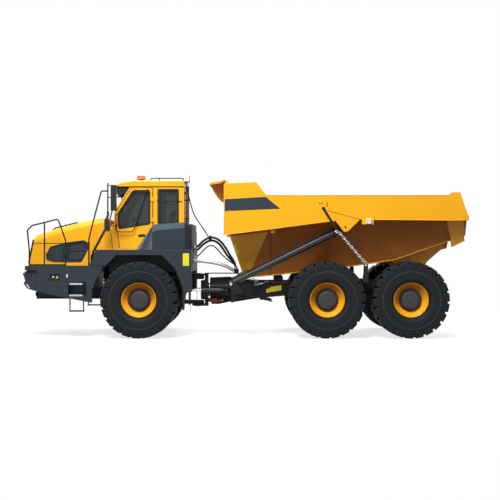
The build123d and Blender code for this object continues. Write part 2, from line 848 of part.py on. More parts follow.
with BuildPart() as handrails:
    tube_rail(
        [
            (-4900.0, rail_y, deck_top_z),
            (-4900.0, rail_y, 2010.0),
            (-4946.0, rail_y, 2448.0),
            (-4837.0, rail_y, 2557.0),
            (-4245.0, rail_y, 2705.0),
            (-4075.0, rail_y, 2216.0),
            (-4075.0, rail_y, deck_top_z),
        ],
        handrail_radius,
        60.0,
    )
    bar((-4555.0, rail_y, deck_top_z), (-4555.0, rail_y, 2628.0), handrail_radius)
    tube_rail(
        [
            (-3560.0, grab_rail_y, deck_top_z),
            (-3560.0, grab_rail_y, 2250.0),
            (-3416.0, grab_rail_y, 2825.0),
            (-3275.0, grab_rail_y, 3349.0),
            (grab_rail_end_x, grab_rail_y, 3349.0),
        ],
        handrail_radius,
        40.0,
    )
    mirror(about=Plane.XZ)
handrails.part.label = "handrails"
export_step(handrails.part, "parts/handrails.step")

# Boarding ladders: treads in the skirt's recess and a hanging lower step
ladder_back_y = 1050.0
stile_y = (1150.0, 1182.0)
ladder_x = (-3982.0, -3671.0)
ladder_foot_z = 592.0
tread_thickness = 32.0

with BuildPart() as ladders:
    for z in (step_recess[2], 1212.0):
        block(step_recess[0], step_recess[1], ladder_back_y, deck_half_width - 10.0,
              z, z + tread_thickness)
    block(step_recess[0], step_recess[1], ladder_back_y - 10.0, ladder_back_y,
          step_recess[2], step_recess[3])
    for x in ladder_x:
        block(x - 12.0, x + 12.0, stile_y[0], stile_y[1], ladder_foot_z, step_recess[2])
    block(ladder_x[0] - 12.0, ladder_x[1] + 12.0, ladder_back_y + 40.0, stile_y[1],
          ladder_foot_z, ladder_foot_z + tread_thickness)
    block(-4070.0, step_recess[0] + 40.0, ladder_back_y - 40.0, ladder_back_y - 10.0, 1010.0, 1100.0)
    mirror(about=Plane.XZ)
ladders.part.label = "ladders"
export_step(ladders.part, "parts/ladders.step")

# Mirrors on their bars in front of the cab's corners
mirror_bar_x = -3128.0
mirror_bar_y = 1110.0
mirror_x = (-3024.0, -2893.0)
mirror_z = (2890.0, 3468.0)
mirror_y = (1300.0, 1372.0)
mirror_bar_radius = 16.0
mirror_pads = [
    # (x, half width of what carries it, z)
    (cab_front_x + 36.0, cab_half_width, 2560.0),
    (cab_front_x + 76.0, cab_half_width + roof_overhang, 3483.0),
]

with BuildPart() as mirrors:
    bar((mirror_bar_x, mirror_bar_y, 2420.0), (mirror_bar_x, mirror_bar_y, 3532.0), mirror_bar_radius)
    for x, wall_y, z in mirror_pads:
        block(x - 20.0, x + 20.0, wall_y, wall_y + 12.0, z - 16.0, z + 10.0)
        bar((x, wall_y + 6.0, z), (mirror_bar_x, mirror_bar_y, z), 9.0)
    bar((mirror_bar_x, mirror_bar_y, 3200.0), (mirror_x[0] + 30.0, mirror_y[0] + 20.0, 3200.0), 12.0)
    block(mirror_x[0], mirror_x[1], mirror_y[0], mirror_y[1], mirror_z[0], mirror_z[1])
    block(mirror_bar_x - 70.0, mirror_bar_x + 60.0, mirror_bar_y + 10.0, mirror_bar_y + 60.0, 2440.0, 2700.0)
    mirror(about=Plane.XZ)
mirrors.part.label = "mirrors"
export_step(mirrors.part, "parts/mirrors.step")

# Beacon on the roof and the lamps in the skirts' recesses
beacon_x = -2449.0
beacon_y = -400.0
lamp_depth = 30.0

with BuildPart() as lamps:
    with Locations((beacon_x, beacon_y, roof_top_z + 25.0)):
        Cylinder(60.0, 50.0)
    with Locations((beacon_x, beacon_y, roof_top_z + 50.0 + 42.0)):
        Cone(112.0, 90.0, 84.0)
    for side in (-1, 1):
        low, high = sorted((side * (deck_half_width - skirt_wall), side * (deck_half_width - skirt_wall + lamp_depth)))
        block(lamp_recess[0], lamp_recess[1], low, high, lamp_recess[2], lamp_recess[3])
lamps.part.label = "lamps"
export_step(lamps.part, "parts/lamps.step")

# Exhaust stack behind the cab, standing on the bulkhead's shelf
exhaust_x = -1347.0
exhaust_y = -550.0
exhaust_top_z = 3485.0
exhaust_radius = 42.0
exhaust_wall = 12.0

with BuildPart() as exhaust_stack:
    bar((exhaust_x, exhaust_y, bulkhead_shelf_z), (exhaust_x, exhaust_y, exhaust_top_z), exhaust_radius)
    bar((exhaust_x, exhaust_y, exhaust_top_z - 120.0), (exhaust_x, exhaust_y, exhaust_top_z),
        exhaust_radius - exhaust_wall, mode=Mode.SUBTRACT)
exhaust_stack.part.label = "exhaust_stack"
export_step(exhaust_stack.part, "parts/exhaust_stack.step")

# Hitch: plates and pins of the steering joint, and the tube that swings in the rear frame
hitch_top_z = upper_lug_top + 6.0
hitch_foot_z = lower_lug_z - 6.0
web_half = 110.0
hose_tray_end = -150.0
hose_tray_half = 150.0
hose_tray_z = hitch_top_z + hitch_plate + 20.0
hose_block_z = 1545.0

with BuildPart() as hitch:
    for z in (hitch_top_z, hitch_foot_z - hitch_plate):
        outline = [
            (steer_x, -140.0),
            (steer_x, 140.0),
            (hitch_flange_x, web_half + 60.0),
            (hitch_flange_x, -web_half - 60.0),
        ]
        extrude(plan_face(outline, z), amount=hitch_plate)
        with Locations((steer_x, 0, z + hitch_plate / 2)):
            Cylinder(140.0, hitch_plate)
    block(hitch_web_front, hitch_flange_x, -web_half, web_half, hitch_foot_z - hitch_plate,
          hitch_top_z + hitch_plate)
    for low, high in ((upper_lug_z, hitch_top_z), (hitch_foot_z, lower_lug_z + lug_thickness)):
        with Locations((steer_x, 0, (low + high) / 2)):
            Cylinder(steer_pin_radius, high - low)
    bar((hitch_flange_x - 10.0, 0, swing_z), (hitch_flange_x + 22.0, 0, swing_z), flange_plate_radius)
    bar((hitch_flange_x, 0, swing_z), (hitch_tube_end, 0, swing_z), hitch_tube_radius)
    for side in (-1, 1):
        for z in (swing_z + fork_half, swing_z - fork_half - fork_plate):
            arm_outline = [
                (hitch_flange_x - 10.0, side * (web_half - 10.0)),
                (hitch_flange_x + 22.0, side * (web_half - 10.0)),
                (hitch_flange_x + 22.0, side * (housing_radius + 20.0)),
                (steer_base_x + 70.0, side * (housing_radius + 20.0)),
                (steer_base_x + 70.0, side * (steer_cylinder_y + 75.0)),
                (steer_base_x - 80.0, side * (steer_cylinder_y + 75.0)),
                (hitch_flange_x - 10.0, side * (housing_radius + 20.0)),
            ]
            extrude(plan_face(arm_outline, z), amount=fork_plate)
        with Locations((steer_base_x, side * steer_cylinder_y, swing_z)):
            Cylinder(24.0, 2 * (fork_half + fork_plate) + 16.0)
    block(hitch_web_front, hose_tray_end, -hose_tray_half, hose_tray_half, hose_tray_z - 20.0, hose_tray_z)
    block(hose_tray_end - 110.0, hose_tray_end, -hose_tray_half, hose_tray_half, hose_tray_z, hose_block_z)
hitch.part.label = "hitch"
export_step(hitch.part, "parts/hitch.step")

# Shaft that drives the rear axles, as seen between the two halves
with BuildPart() as drive_shaft:
    bar((front_rail_end, 0, swing_z), (steer_x - 75.0, 0, swing_z), 44.0)
drive_shaft.part.label = "drive_shaft"
export_step(drive_shaft.part, "parts/drive_shaft.step")

# Steering cylinders
for side, sign in (("left", -1), ("right", 1)):
    y = sign * steer_cylinder_y
    gland_x = steer_base_x - steer_barrel_length

    with BuildPart() as steer_barrel:
        bar((steer_base_x, y, swing_z), (gland_x, y, swing_z), steer_barrel_radius)
        with Locations((steer_base_x, y, swing_z)):
            Cylinder(steer_eye_radius, 2 * (fork_half - fork_gap))
            Cylinder(24.0 + running_fit, 400.0, mode=Mode.SUBTRACT)
        bar((steer_base_x - steer_eye_radius - 6.0, y, swing_z), (gland_x, y, swing_z),
            steer_rod_radius + running_fit, mode=Mode.SUBTRACT)
    steer_barrel.part.label = f"steer_barrel_{side}"
    export_step(steer_barrel.part, f"parts/steer_barrel_{side}.step")

    with BuildPart() as steer_rod:
        bar((steer_eye_x, y, swing_z), (steer_eye_x + steer_rod_length, y, swing_z), steer_rod_radius)
        with Locations((steer_eye_x, y, swing_z)):
            Cylinder(steer_eye_radius, 2 * (fork_half - fork_gap))
    steer_rod.part.label = f"steer_rod_{side}"
    export_step(steer_rod.part, f"parts/steer_rod_{side}.step")

# Rear frame: rails, the housing of the hitch tube, and the brackets for body, beams and cylinders
beam_z = (1000.0, 1130.0)
beam_x = (-220.0, -40.0)
clevis_plate = 20.0
clevis_inner_y = tip_cylinder_y - tip_barrel_radius - 6.0
clevis_outer_y = tip_cylinder_y + tip_barrel_radius + 6.0
trunnion_x = (axle_x["middle"] + axle_x["rear"]) / 2
walking_beam_y = (560.0, 700.0)

rear_rail = [
    (rear_frame_front, 760.0),
    (rear_frame_front, rear_frame_top),
    (rear_frame_end, rear_frame_top),
    (rear_frame_end, 1060.0),
    (1400.0, 1060.0),
    (1100.0, 935.0),
    (913.0, 919.0),
    (305.0, 863.0),
]

with BuildPart() as rear_frame:
    plate(rear_rail, rail_inner_y, rail_outer_y)
    block(beam_x[0], beam_x[1], rail_outer_y, clevis_outer_y + clevis_plate, beam_z[0], beam_z[1])
    for y in (clevis_inner_y - clevis_plate, clevis_outer_y):
        plate(
            [
                (beam_x[1], beam_z[0]),
                (beam_x[0] - 40.0, beam_z[0]),
                (tip_base[0] - 70.0, tip_base[1] - 30.0),
                (tip_base[0] - 50.0, tip_base[1] + 55.0),
                (tip_base[0] + 50.0, tip_base[1] + 55.0),
                (beam_x[1], beam_z[1]),
            ],
            y,
            y + clevis_plate,
        )
    bar((tip_base[0], clevis_inner_y - clevis_plate, tip_base[1]),
        (tip_base[0], clevis_outer_y + clevis_plate + 8.0, tip_base[1]), tip_pin_radius)
    plate(
        [
            (dump_pivot[0] - 110.0, rear_frame_top),
            (dump_pivot[0] - 60.0, dump_pivot[1] + 55.0),
            (dump_pivot[0] + 60.0, dump_pivot[1] + 55.0),
            (dump_pivot[0] + 110.0, rear_frame_top),
        ],
        rail_inner_y,
        rail_outer_y,
    )
    block(trunnion_x - 80.0, trunnion_x + 80.0, rail_inner_y, walking_beam_y[0], axle_z - 90.0, 1060.0)
    block(700.0, 900.0, rail_inner_y, rail_outer_y, rear_frame_top, rear_frame_top + 120.0)
    mirror(about=Plane.XZ)
    block(rear_frame_front, rear_frame_front + 50.0, -rail_outer_y, rail_outer_y, 760.0, rear_frame_top)
    for x in (beam_x[0], 1200.0, trunnion_x, rear_frame_end - 60.0):
        block(x, x + 60.0, -rail_inner_y, rail_inner_y, 1080.0, rear_frame_top - 20.0)
    block(rear_frame_end, rear_frame_end + 120.0, -80.0, 80.0, rear_tow_z[0], rear_tow_z[1])
    with Locations((rear_frame_end + 60.0, 0, sum(rear_tow_z) / 2)):
        Cylinder(rear_tow_bore, rear_tow_z[1] - rear_tow_z[0], mode=Mode.SUBTRACT)
    bar((housing_front, 0, swing_z), (rear_frame_front, 0, swing_z), housing_radius)
    bar((housing_front, 0, swing_z), (hitch_tube_end + 6.0, 0, swing_z),
        hitch_tube_radius + running_fit, mode=Mode.SUBTRACT)
    bar((dump_pivot[0], -rail_outer_y - 140.0, dump_pivot[1]),
        (dump_pivot[0], rail_outer_y + 140.0, dump_pivot[1]), dump_pin_radius)
rear_frame.part.label = "rear_frame"
export_step(rear_frame.part, "parts/rear_frame.step")

# Chain brackets on the rear frame, between the wheels on each side
chain_bracket_x = (2670.0, 2790.0)
chain_bracket_y = (1370.0, 1430.0)
chain_foot = (2735.0, 1400.0, 1690.0)

with BuildPart() as chain_brackets:
    block(chain_bracket_x[0], chain_bracket_x[1], rail_inner_y, chain_bracket_y[1],
          rear_frame_top, rear_frame_top + 60.0)
    plate(
        [
            (chain_bracket_x[0], rear_frame_top + 60.0),
            (chain_foot[0] - 45.0, chain_foot[2]),
            (chain_foot[0] + 45.0, chain_foot[2]),
            (chain_bracket_x[1], rear_frame_top + 60.0),
        ],
        chain_bracket_y[0],
        chain_bracket_y[1],
    )
    mirror(about=Plane.XZ)
chain_brackets.part.label = "chain_brackets"
export_step(chain_brackets.part, "parts/chain_brackets.step")

# Bogie: two axles joined on each side by a walking beam
beam_outline = [
    (axle_x["middle"] - 170.0, axle_z - 150.0),
    (axle_x["middle"] - 170.0, axle_z + 130.0),
    (trunnion_x - 200.0, axle_z + 110.0),
    (trunnion_x + 200.0, axle_z + 110.0),
    (axle_x["rear"] + 170.0, axle_z + 130.0),
    (axle_x["rear"] + 170.0, axle_z - 150.0),
    (trunnion_x + 200.0, axle_z - 190.0),
    (trunnion_x - 200.0, axle_z - 190.0),
]

with BuildPart() as bogie:
    axle_housing(axle_x["middle"])
    axle_housing(axle_x["rear"])
    for side in (-1, 1):
        low, high = sorted((side * walking_beam_y[0], side * walking_beam_y[1]))
        plate(beam_outline, low, high)
bogie.part.label = "bogie"
export_step(bogie.part, "parts/bogie.step")

# Tipping cylinders: barrels on the rear frame, rods up to the dump body
tip_angle = atan2(tip_eye[1] - tip_base[1], tip_eye[0] - tip_base[0])
tip_length = hypot(tip_eye[1] - tip_base[1], tip_eye[0] - tip_base[0])


def on_cylinder(distance, y):
    """The point that far from the base pin, along the closed tipping cylinder."""
    return (tip_base[0] + distance * cos(tip_angle), y, tip_base[1] + distance * sin(tip_angle))


for side, sign in (("left", -1), ("right", 1)):
    y = sign * tip_cylinder_y
    half = tip_eye_width / 2

    with BuildPart() as tip_barrel:
        bar(on_cylinder(0, y), on_cylinder(tip_barrel_length, y), tip_barrel_radius)
        low, high = y - tip_barrel_radius, y + tip_barrel_radius
        bar((tip_base[0], low, tip_base[1]), (tip_base[0], high, tip_base[1]), tip_eye_radius)
        bar((tip_base[0], low, tip_base[1]), (tip_base[0], high, tip_base[1]),
            tip_pin_radius + running_fit, mode=Mode.SUBTRACT)
        bar(on_cylinder(tip_length - tip_rod_length - 20.0, y), on_cylinder(tip_barrel_length, y),
            tip_rod_radius + running_fit, mode=Mode.SUBTRACT)
    tip_barrel.part.label = f"tip_barrel_{side}"
    export_step(tip_barrel.part, f"parts/tip_barrel_{side}.step")

    with BuildPart() as tip_rod:
        bar(on_cylinder(tip_length - tip_rod_length, y), on_cylinder(tip_length, y), tip_rod_radius)
        bar((tip_eye[0], y - half, tip_eye[1]), (tip_eye[0], y + half, tip_eye[1]), tip_eye_radius)
    tip_rod.part.label = f"tip_rod_{side}"
    export_step(tip_rod.part, f"parts/tip_rod_{side}.step")

# Dump body. The hull flares upward; its panels are cut from one hollow form.
hull_line = [
    # lower edge of the hull, from the headboard to the tail
    (-13.0, 1347.0),
    (834.0, 1424.0),
    (2405.0, 1608.0),
    (3496.0, 1767.0),
    (4778.0, 2231.0),
    (tail_x - 30.0, 2326.0),
]
headboard_foot = (-343.0, 2319.0)
headboard_x = -440.0
headboard_top_z = 3560.0
hull_top_z = 2664.0
ledge_z = 2737.0
side_inner_y = side_outer_y - side_wall


def hull_y(z, inset=0.0):
    """Half width of the hull at that height, or inside its wall."""
    return hull_foot_y + (z - hull_foot_z) * hull_flare - inset


def hull_section(inset):
    """Cross-section of the hull as (y, z), from its floor up to inside the side panels."""
    half = [
        (hull_y(1200.0, inset), 1200.0),
        (hull_y(hull_top_z, inset), hull_top_z + inset),
        (side_inner_y - inset, ledge_z + inset),
        (side_inner_y - inset, headboard_top_z + 200.0),
    ]
    return half + [(-y, z) for y, z in reversed(half)]


def hull_profile(inset):
    """Side profile of the hull's form, whose inside is open at the top and at the tail."""
    floor = [(x, z + inset) for x, z in hull_line]
    floor[0] = (floor[0][0] + inset, floor[0][1])
    front = [
        (headboard_foot[0] + inset, headboard_foot[1]),
        (headboard_x + inset, headboard_foot[1] + 120.0),
        (headboard_x + inset, headboard_top_z),
    ]
    reach = 200.0 if inset else 0.0
    rear = [
        (tail_x + reach, floor[-1][1] + reach * 0.36),
        (tail_x + reach, headboard_top_z),
    ]
    return list(reversed(front)) + floor + rear


def hull_form(inset, mode):
    """Adds or cuts the hull's form, outside or inside its walls."""
    with BuildPart(mode=Mode.PRIVATE) as form:
        plate(hull_profile(inset), -2000.0, 2000.0)
        extrude(cross_face(hull_section(inset), -1000.0), amount=7000.0, mode=Mode.INTERSECT)
    add(form.part, mode=mode)


def hull_panel():
    """Adds the hull's hollow form, all walls."""
    hull_form(0.0, Mode.ADD)
    hull_form(hull_wall, Mode.SUBTRACT)
    block(-1000.0, tail_x + 400.0, -2000.0, 2000.0, ledge_z + hull_wall, 4000.0, mode=Mode.SUBTRACT)


head_cut_x = headboard_x + hull_wall


def beside(outline, mode):
    """Cuts or keeps what lies within a side outline, over the whole width."""
    plate(outline, -2000.0, 2000.0, mode=mode)


head_region = [
    (-600.0, 1200.0),
    (-600.0, 4000.0),
    (head_cut_x, 4000.0),
    (head_cut_x, headboard_foot[1] + 120.0),
    (headboard_foot[0] + hull_wall, headboard_foot[1]),
    (hull_line[0][0] + hull_wall, hull_line[0][1] + hull_wall),
    (hull_line[0][0] + hull_wall, 1200.0),
]
floor_region = (
    [(x, z + hull_wall) for x, z in hull_line[1:]]
    + [(tail_x + 400.0, hull_line[-1][1] + 300.0), (tail_x + 400.0, 1200.0)]
    + [(hull_line[0][0] + hull_wall, 1200.0)]
    + [(hull_line[0][0] + hull_wall, hull_line[0][1] + hull_wall)]
)

with BuildPart() as dump_headboard:
    hull_panel()
    beside(head_region, Mode.INTERSECT)
    block(headboard_x, head_cut_x, -side_inner_y, side_inner_y, ledge_z + hull_wall, headboard_top_z)
    for z in (2850.0, 3080.0):
        block(headboard_x - 26.0, headboard_x, -side_inner_y, side_inner_y, z - 30.0, z + 30.0)
dump_headboard.part.label = "dump_headboard"
export_step(dump_headboard.part, "parts/dump_headboard.step")

with BuildPart() as dump_floor:
    hull_panel()
    beside(head_region, Mode.SUBTRACT)
    beside(floor_region, Mode.INTERSECT)
dump_floor.part.label = "dump_floor"
export_step(dump_floor.part, "parts/dump_floor.step")

with BuildPart() as dump_hull_sides:
    hull_panel()
    beside(head_region, Mode.SUBTRACT)
    beside(floor_region, Mode.SUBTRACT)
dump_hull_sides.part.label = "dump_hull_sides"
export_step(dump_hull_sides.part, "parts/dump_hull_sides.step")

# Side panels, with the gusset that covers the tipping cylinder's eye
side_outline = [
    (-469.0, 2335.0),
    (-469.0, 3500.0),
    (265.0, 3530.0),
    (490.0, 3236.0),
    (4579.0, 3231.0),
    (4671.0, 3303.0),
    (4860.0, 3303.0),
    (tail_x, 2675.0),
    (4966.0, 2664.0),
    (2594.0, 2680.0),
    (tip_eye[0] + 150.0, tip_eye[1] - 40.0),
    (tip_eye[0] + 60.0, tip_eye[1] - 60.0),
    (2040.0, 2664.0),
    (834.0, 2509.0),
    (834.0, 2490.0),
]
rim_rail_z = 3190.0

with BuildPart() as dump_side_panels:
    plate(side_outline, side_inner_y, side_outer_y)
    mirror(about=Plane.XZ)
dump_side_panels.part.label = "dump_side_panels"
export_step(dump_side_panels.part, "parts/dump_side_panels.step")

# Spill guard over the cab's rear edge, on curved gussets
guard_thickness = 26.0
gusset_y = 340.0
gusset_thickness = 30.0
gusset_foot_z = 3132.0
guard_outline = [
    (-828.0, -400.0),
    (-828.0, 400.0),
    (-560.0, 950.0),
    (-480.0, side_inner_y),
    (head_cut_x, side_inner_y),
    (head_cut_x, -side_inner_y),
    (-480.0, -side_inner_y),
    (-560.0, -950.0),
]

with BuildPart() as spill_guard:
    extrude(plan_face(guard_outline, headboard_top_z), amount=guard_thickness)
    for side in (-1, 1):
        with BuildSketch(Plane.XZ.offset(-side * gusset_y + gusset_thickness / 2)) as gusset:
            with BuildLine():
                Polyline((-800.0, headboard_top_z), (headboard_x, headboard_top_z),
                         (headboard_x, gusset_foot_z), (headboard_x - 40.0, gusset_foot_z))
                RadiusArc((headboard_x - 40.0, gusset_foot_z), (-800.0, headboard_top_z), 620.0)
            make_face()
        extrude(gusset.sketch, amount=-gusset_thickness)
spill_guard.part.label = "spill_guard"
export_step(spill_guard.part, "parts/spill_guard.step")

# Tail frame under the floor, which carries the body on its rear pins
tail_beam = [
    (3400.0, 1753.0),
    (3880.0, dump_pivot[1] - 100.0),
    (dump_pivot[0] + 90.0, dump_pivot[1] - 100.0),
    (4276.0, 1719.0),
    (4597.0, 2000.0),
    (4740.0, 2040.0),
    (4778.0, 2231.0),
    (3496.0, 1767.0),
]

with BuildPart() as dump_tail_frame:
    plate(tail_beam, rail_outer_y + 10.0, rail_outer_y + 100.0)
    bar((dump_pivot[0], rail_outer_y, dump_pivot[1]), (dump_pivot[0], rail_outer_y + 160.0, dump_pivot[1]),
        dump_pin_radius + running_fit, mode=Mode.SUBTRACT)
    mirror(about=Plane.XZ)
dump_tail_frame.part.label = "dump_tail_frame"
export_step(dump_tail_frame.part, "parts/dump_tail_frame.step")

# Hoses from the bulkhead, over the steering joint, to the block on the hitch's tray
hose_exit_x = front_unit_rear_x + touch_gap
hose_end_z = hose_block_z + touch_gap
hose_table = [
    # (radius, y, points as (x, z) from the bulkhead to the block)
    (27.0, -60.0, [(hose_exit_x, 2060.0), (-1150.0, 2060.0), (-1010.0, 2220.0), (-830.0, 2316.0),
                   (-640.0, 2270.0), (-480.0, 2090.0), (-345.0, 1850.0), (-225.0, 1680.0),
                   (-225.0, hose_end_z)]),
    (27.0, 10.0, [(hose_exit_x, 1985.0), (-1150.0, 1985.0), (-1010.0, 2140.0), (-830.0, 2245.0),
                  (-655.0, 2195.0), (-520.0, 2020.0), (-390.0, 1810.0), (-215.0, 1650.0),
                  (-215.0, hose_end_z)]),
    (15.0, 75.0, [(hose_exit_x, 1830.0), (-1150.0, 1830.0), (-990.0, 2010.0), (-880.0, 2106.0),
                  (-745.0, 2110.0), (-574.0, 1905.0), (-402.0, 1745.0), (-205.0, 1620.0),
                  (-205.0, hose_end_z)]),
]

with BuildPart() as hoses:
    for radius, y, points in hose_table:
        route = [(x, y, z) for x, z in points]
        bends = []
        for before, corner, after in zip(route, route[1:], route[2:]):
            into, out = Vector(*corner) - Vector(*before), Vector(*after) - Vector(*corner)
            half_turn = radians(into.get_angle(out)) / 2
            bends.append(0.45 * min(into.length, out.length) / tan(half_turn))
        with BuildLine() as line:
            FilletPolyline(*route, radius=bends)
        route_wire = line.wire()
        with BuildSketch(Plane(origin=route_wire @ 0, z_dir=route_wire % 0)) as section:
            Circle(radius)
        sweep(section.sketch, path=route_wire)
        print("hose", round(route_wire.length), "tightest bend", round(min(bends)))
hoses.part.label = "hoses"
export_step(hoses.part, "parts/hoses.step")

# Stowed chain on each side of the dump body: sleeve, links and the shackle at the frame's bracket
chain_top = (1779.0, side_outer_y, 2935.0)
chain_y = side_outer_y + 26.0
sleeve_end = (2078.0, chain_y, 2450.0)
sleeve_radius = 24.0
link_wire = 16.0
link_inside = 66.0
link_width = 58.0


def chain_link(centre, along, roll):
    """Adds one six-sided chain link, its length along that direction."""
    half_length = link_inside / 2 + link_wire
    half_width = link_width / 2
    shoulder = half_length - half_width * 0.6
    outer = [
        (half_length, half_width * 0.4), (shoulder, half_width), (-shoulder, half_width),
        (-half_length, half_width * 0.4), (-half_length, -half_width * 0.4),
        (-shoulder, -half_width), (shoulder, -half_width), (half_length, -half_width * 0.4),
    ]
    plane = Plane(origin=centre, x_dir=along, z_dir=along.cross(Vector(0, 1, 0)).rotate(
        Axis((0, 0, 0), along), roll))
    with BuildSketch(plane) as ring:
        with BuildLine():
            Polyline(*outer, close=True)
        make_face()
        offset(amount=-link_wire, kind=Kind.INTERSECTION, mode=Mode.SUBTRACT)
    extrude(ring.sketch, amount=link_wire / 2, both=True)


with BuildPart() as body_chain:
    bar((chain_top[0], side_outer_y, chain_top[2]), (chain_top[0], side_outer_y + 60.0, chain_top[2]), 22.0)
    bar((chain_top[0], chain_y, chain_top[2]), sleeve_end, sleeve_radius)
    start, foot = Vector(*sleeve_end), Vector(*chain_foot)
    along = (foot - start).normalized()
    pitch = link_inside - touch_gap
    count = int(((foot - start).length - 40.0) / pitch)
    first = start + along * (link_inside / 2 + link_wire - 6.0)
    for number in range(count):
        chain_link(first + along * (pitch * number), along, 90.0 * (number % 2))
    mirror(about=Plane.XZ)
body_chain.part.label = "body_chain"
export_step(body_chain.part, "parts/body_chain.step")
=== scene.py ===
# %% [markdown]
# # Articulated dump truck
# The CAD model comes in as a fixed frame. This lesson gives each of its parts a real finish and adds the pieces
# that are too fine for the CAD: tyre lugs, bolts, seals, seams, cables and plates. All lengths are in metres.

# %% Load the frame
import math
import bmesh
import bpy
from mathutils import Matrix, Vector


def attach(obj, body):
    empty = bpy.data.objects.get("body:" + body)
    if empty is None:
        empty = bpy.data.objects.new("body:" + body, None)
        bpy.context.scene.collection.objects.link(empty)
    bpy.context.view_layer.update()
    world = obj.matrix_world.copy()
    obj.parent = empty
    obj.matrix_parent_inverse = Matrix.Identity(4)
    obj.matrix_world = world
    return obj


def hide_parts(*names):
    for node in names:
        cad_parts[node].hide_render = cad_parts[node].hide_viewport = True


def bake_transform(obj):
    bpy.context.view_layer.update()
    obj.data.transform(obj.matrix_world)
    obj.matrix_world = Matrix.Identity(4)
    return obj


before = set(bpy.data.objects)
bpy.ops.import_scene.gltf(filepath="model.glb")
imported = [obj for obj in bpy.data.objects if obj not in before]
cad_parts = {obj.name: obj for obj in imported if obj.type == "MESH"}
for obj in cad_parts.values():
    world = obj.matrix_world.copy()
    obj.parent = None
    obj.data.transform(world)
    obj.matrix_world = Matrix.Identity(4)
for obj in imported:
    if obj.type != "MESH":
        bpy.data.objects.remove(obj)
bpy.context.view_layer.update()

# %% [markdown]
# ## Colour and shader helpers
# A colour is picked as an sRGB hex value, the way a paint chart or a photo shows it. A shader works in linear
# light, so one function turns the one into the other. A second function adds a shader node with its settings
# and links, which keeps the recipes below short enough to read.

# %% Helpers for colours and shader nodes
def linear(colour):
    """An sRGB hex colour as the linear values that a shader takes."""
    channels = [int(colour[i:i + 2], 16) / 255 for i in (1, 3, 5)]
    return tuple(c / 12.92 if c <= 0.04045 else ((c + 0.055) / 1.055) ** 2.4 for c in channels) + (1.0,)


def add_node(tree, kind, settings=None, links=None):
    """Adds a shader node; settings are its sockets or attributes, links are what feeds its sockets."""
    node = tree.nodes.new(kind)
    for key, value in (settings or {}).items():
        if isinstance(key, int) or key in node.inputs.keys():
            node.inputs[key].default_value = value
        else:
            setattr(node, key, value)
    for key, source in (links or {}).items():
        tree.links.new(source, node.inputs[key])
    return node


def new_finish(name, settings):
    """A material with its shader's own constant values; returns the material, its tree and the shader."""
    material = bpy.data.materials.new(name)
    material.use_nodes = True
    tree = material.node_tree
    shader = tree.nodes["Principled BSDF"]
    for key, value in settings.items():
        shader.inputs[key].default_value = value
    return material, tree, shader


# %% [markdown]
# ## Enamel paint
# The bodywork is two-part enamel, sprayed on sheet and plate steel. It has a clear gloss, an orange-peel
# waviness of a few millimetres, and a tone that drifts a little from panel to panel. Noise in real metres
# drives all three. The orange peel is really 2-4 mm wide and is drawn at 25 mm so that it shows at all.

# %% Enamel paint
dust_top, dust_full = 1.7, 0.5  # heights: the film of dust begins under the upper one and is full at the lower one


def enamel(name, colour, shade, roughness=0.34, dust="#B9A68A", dust_amount=0.05, coat=0.12, mirror=0.4):
    """Sprayed enamel: a tone between two colours, a wavy gloss and a thin film of dust low down.

    The coat is the weight of its clear layer, and the mirror is how strongly the paint under it shines.
    """
    material, tree, shader = new_finish(name, {"Roughness": roughness, "IOR": 1.5, "Coat Weight": coat,
                                               "Coat Roughness": 0.12, "Specular IOR Level": mirror})
    place = add_node(tree, "ShaderNodeTexCoord").outputs["Object"]
    drift = add_node(tree, "ShaderNodeTexNoise", {"Scale": 0.9, "Detail": 3.0}, {"Vector": place})
    tone = add_node(tree, "ShaderNodeMix", {"data_type": "RGBA", 6: linear(colour), 7: linear(shade)},
                    {0: drift.outputs["Fac"]})
    height = add_node(tree, "ShaderNodeSeparateXYZ", {}, {0: place})
    low = add_node(tree, "ShaderNodeMapRange", {"From Min": dust_top, "From Max": dust_full, "To Min": 0.0,
                                                "To Max": dust_amount}, {"Value": height.outputs["Z"]})
    cloud = add_node(tree, "ShaderNodeTexNoise", {"Scale": 7.0, "Detail": 6.0}, {"Vector": place})
    film = add_node(tree, "ShaderNodeMath", {"operation": "MULTIPLY", "use_clamp": True},
                    {0: low.outputs["Result"], 1: cloud.outputs["Fac"]})
    dusty = add_node(tree, "ShaderNodeMix", {"data_type": "RGBA", 7: linear(dust)},
                     {0: film.outputs["Value"], 6: tone.outputs[2]})
    tree.links.new(dusty.outputs[2], shader.inputs["Base Color"])
    gloss = add_node(tree, "ShaderNodeMapRange", {"To Min": roughness - 0.06, "To Max": roughness + 0.1},
                     {"Value": cloud.outputs["Fac"]})
    tree.links.new(gloss.outputs["Result"], shader.inputs["Roughness"])
    peel = add_node(tree, "ShaderNodeTexNoise", {"Scale": 40.0, "Detail": 1.0}, {"Vector": place})
    bump = add_node(tree, "ShaderNodeBump", {"Strength": 0.06, "Distance": 0.001},
                    {"Height": peel.outputs["Fac"]})
    tree.links.new(bump.outputs["Normal"], shader.inputs["Normal"])
    return material


yellow_enamel = enamel("yellow_enamel", "#FAB300", "#F5A800")
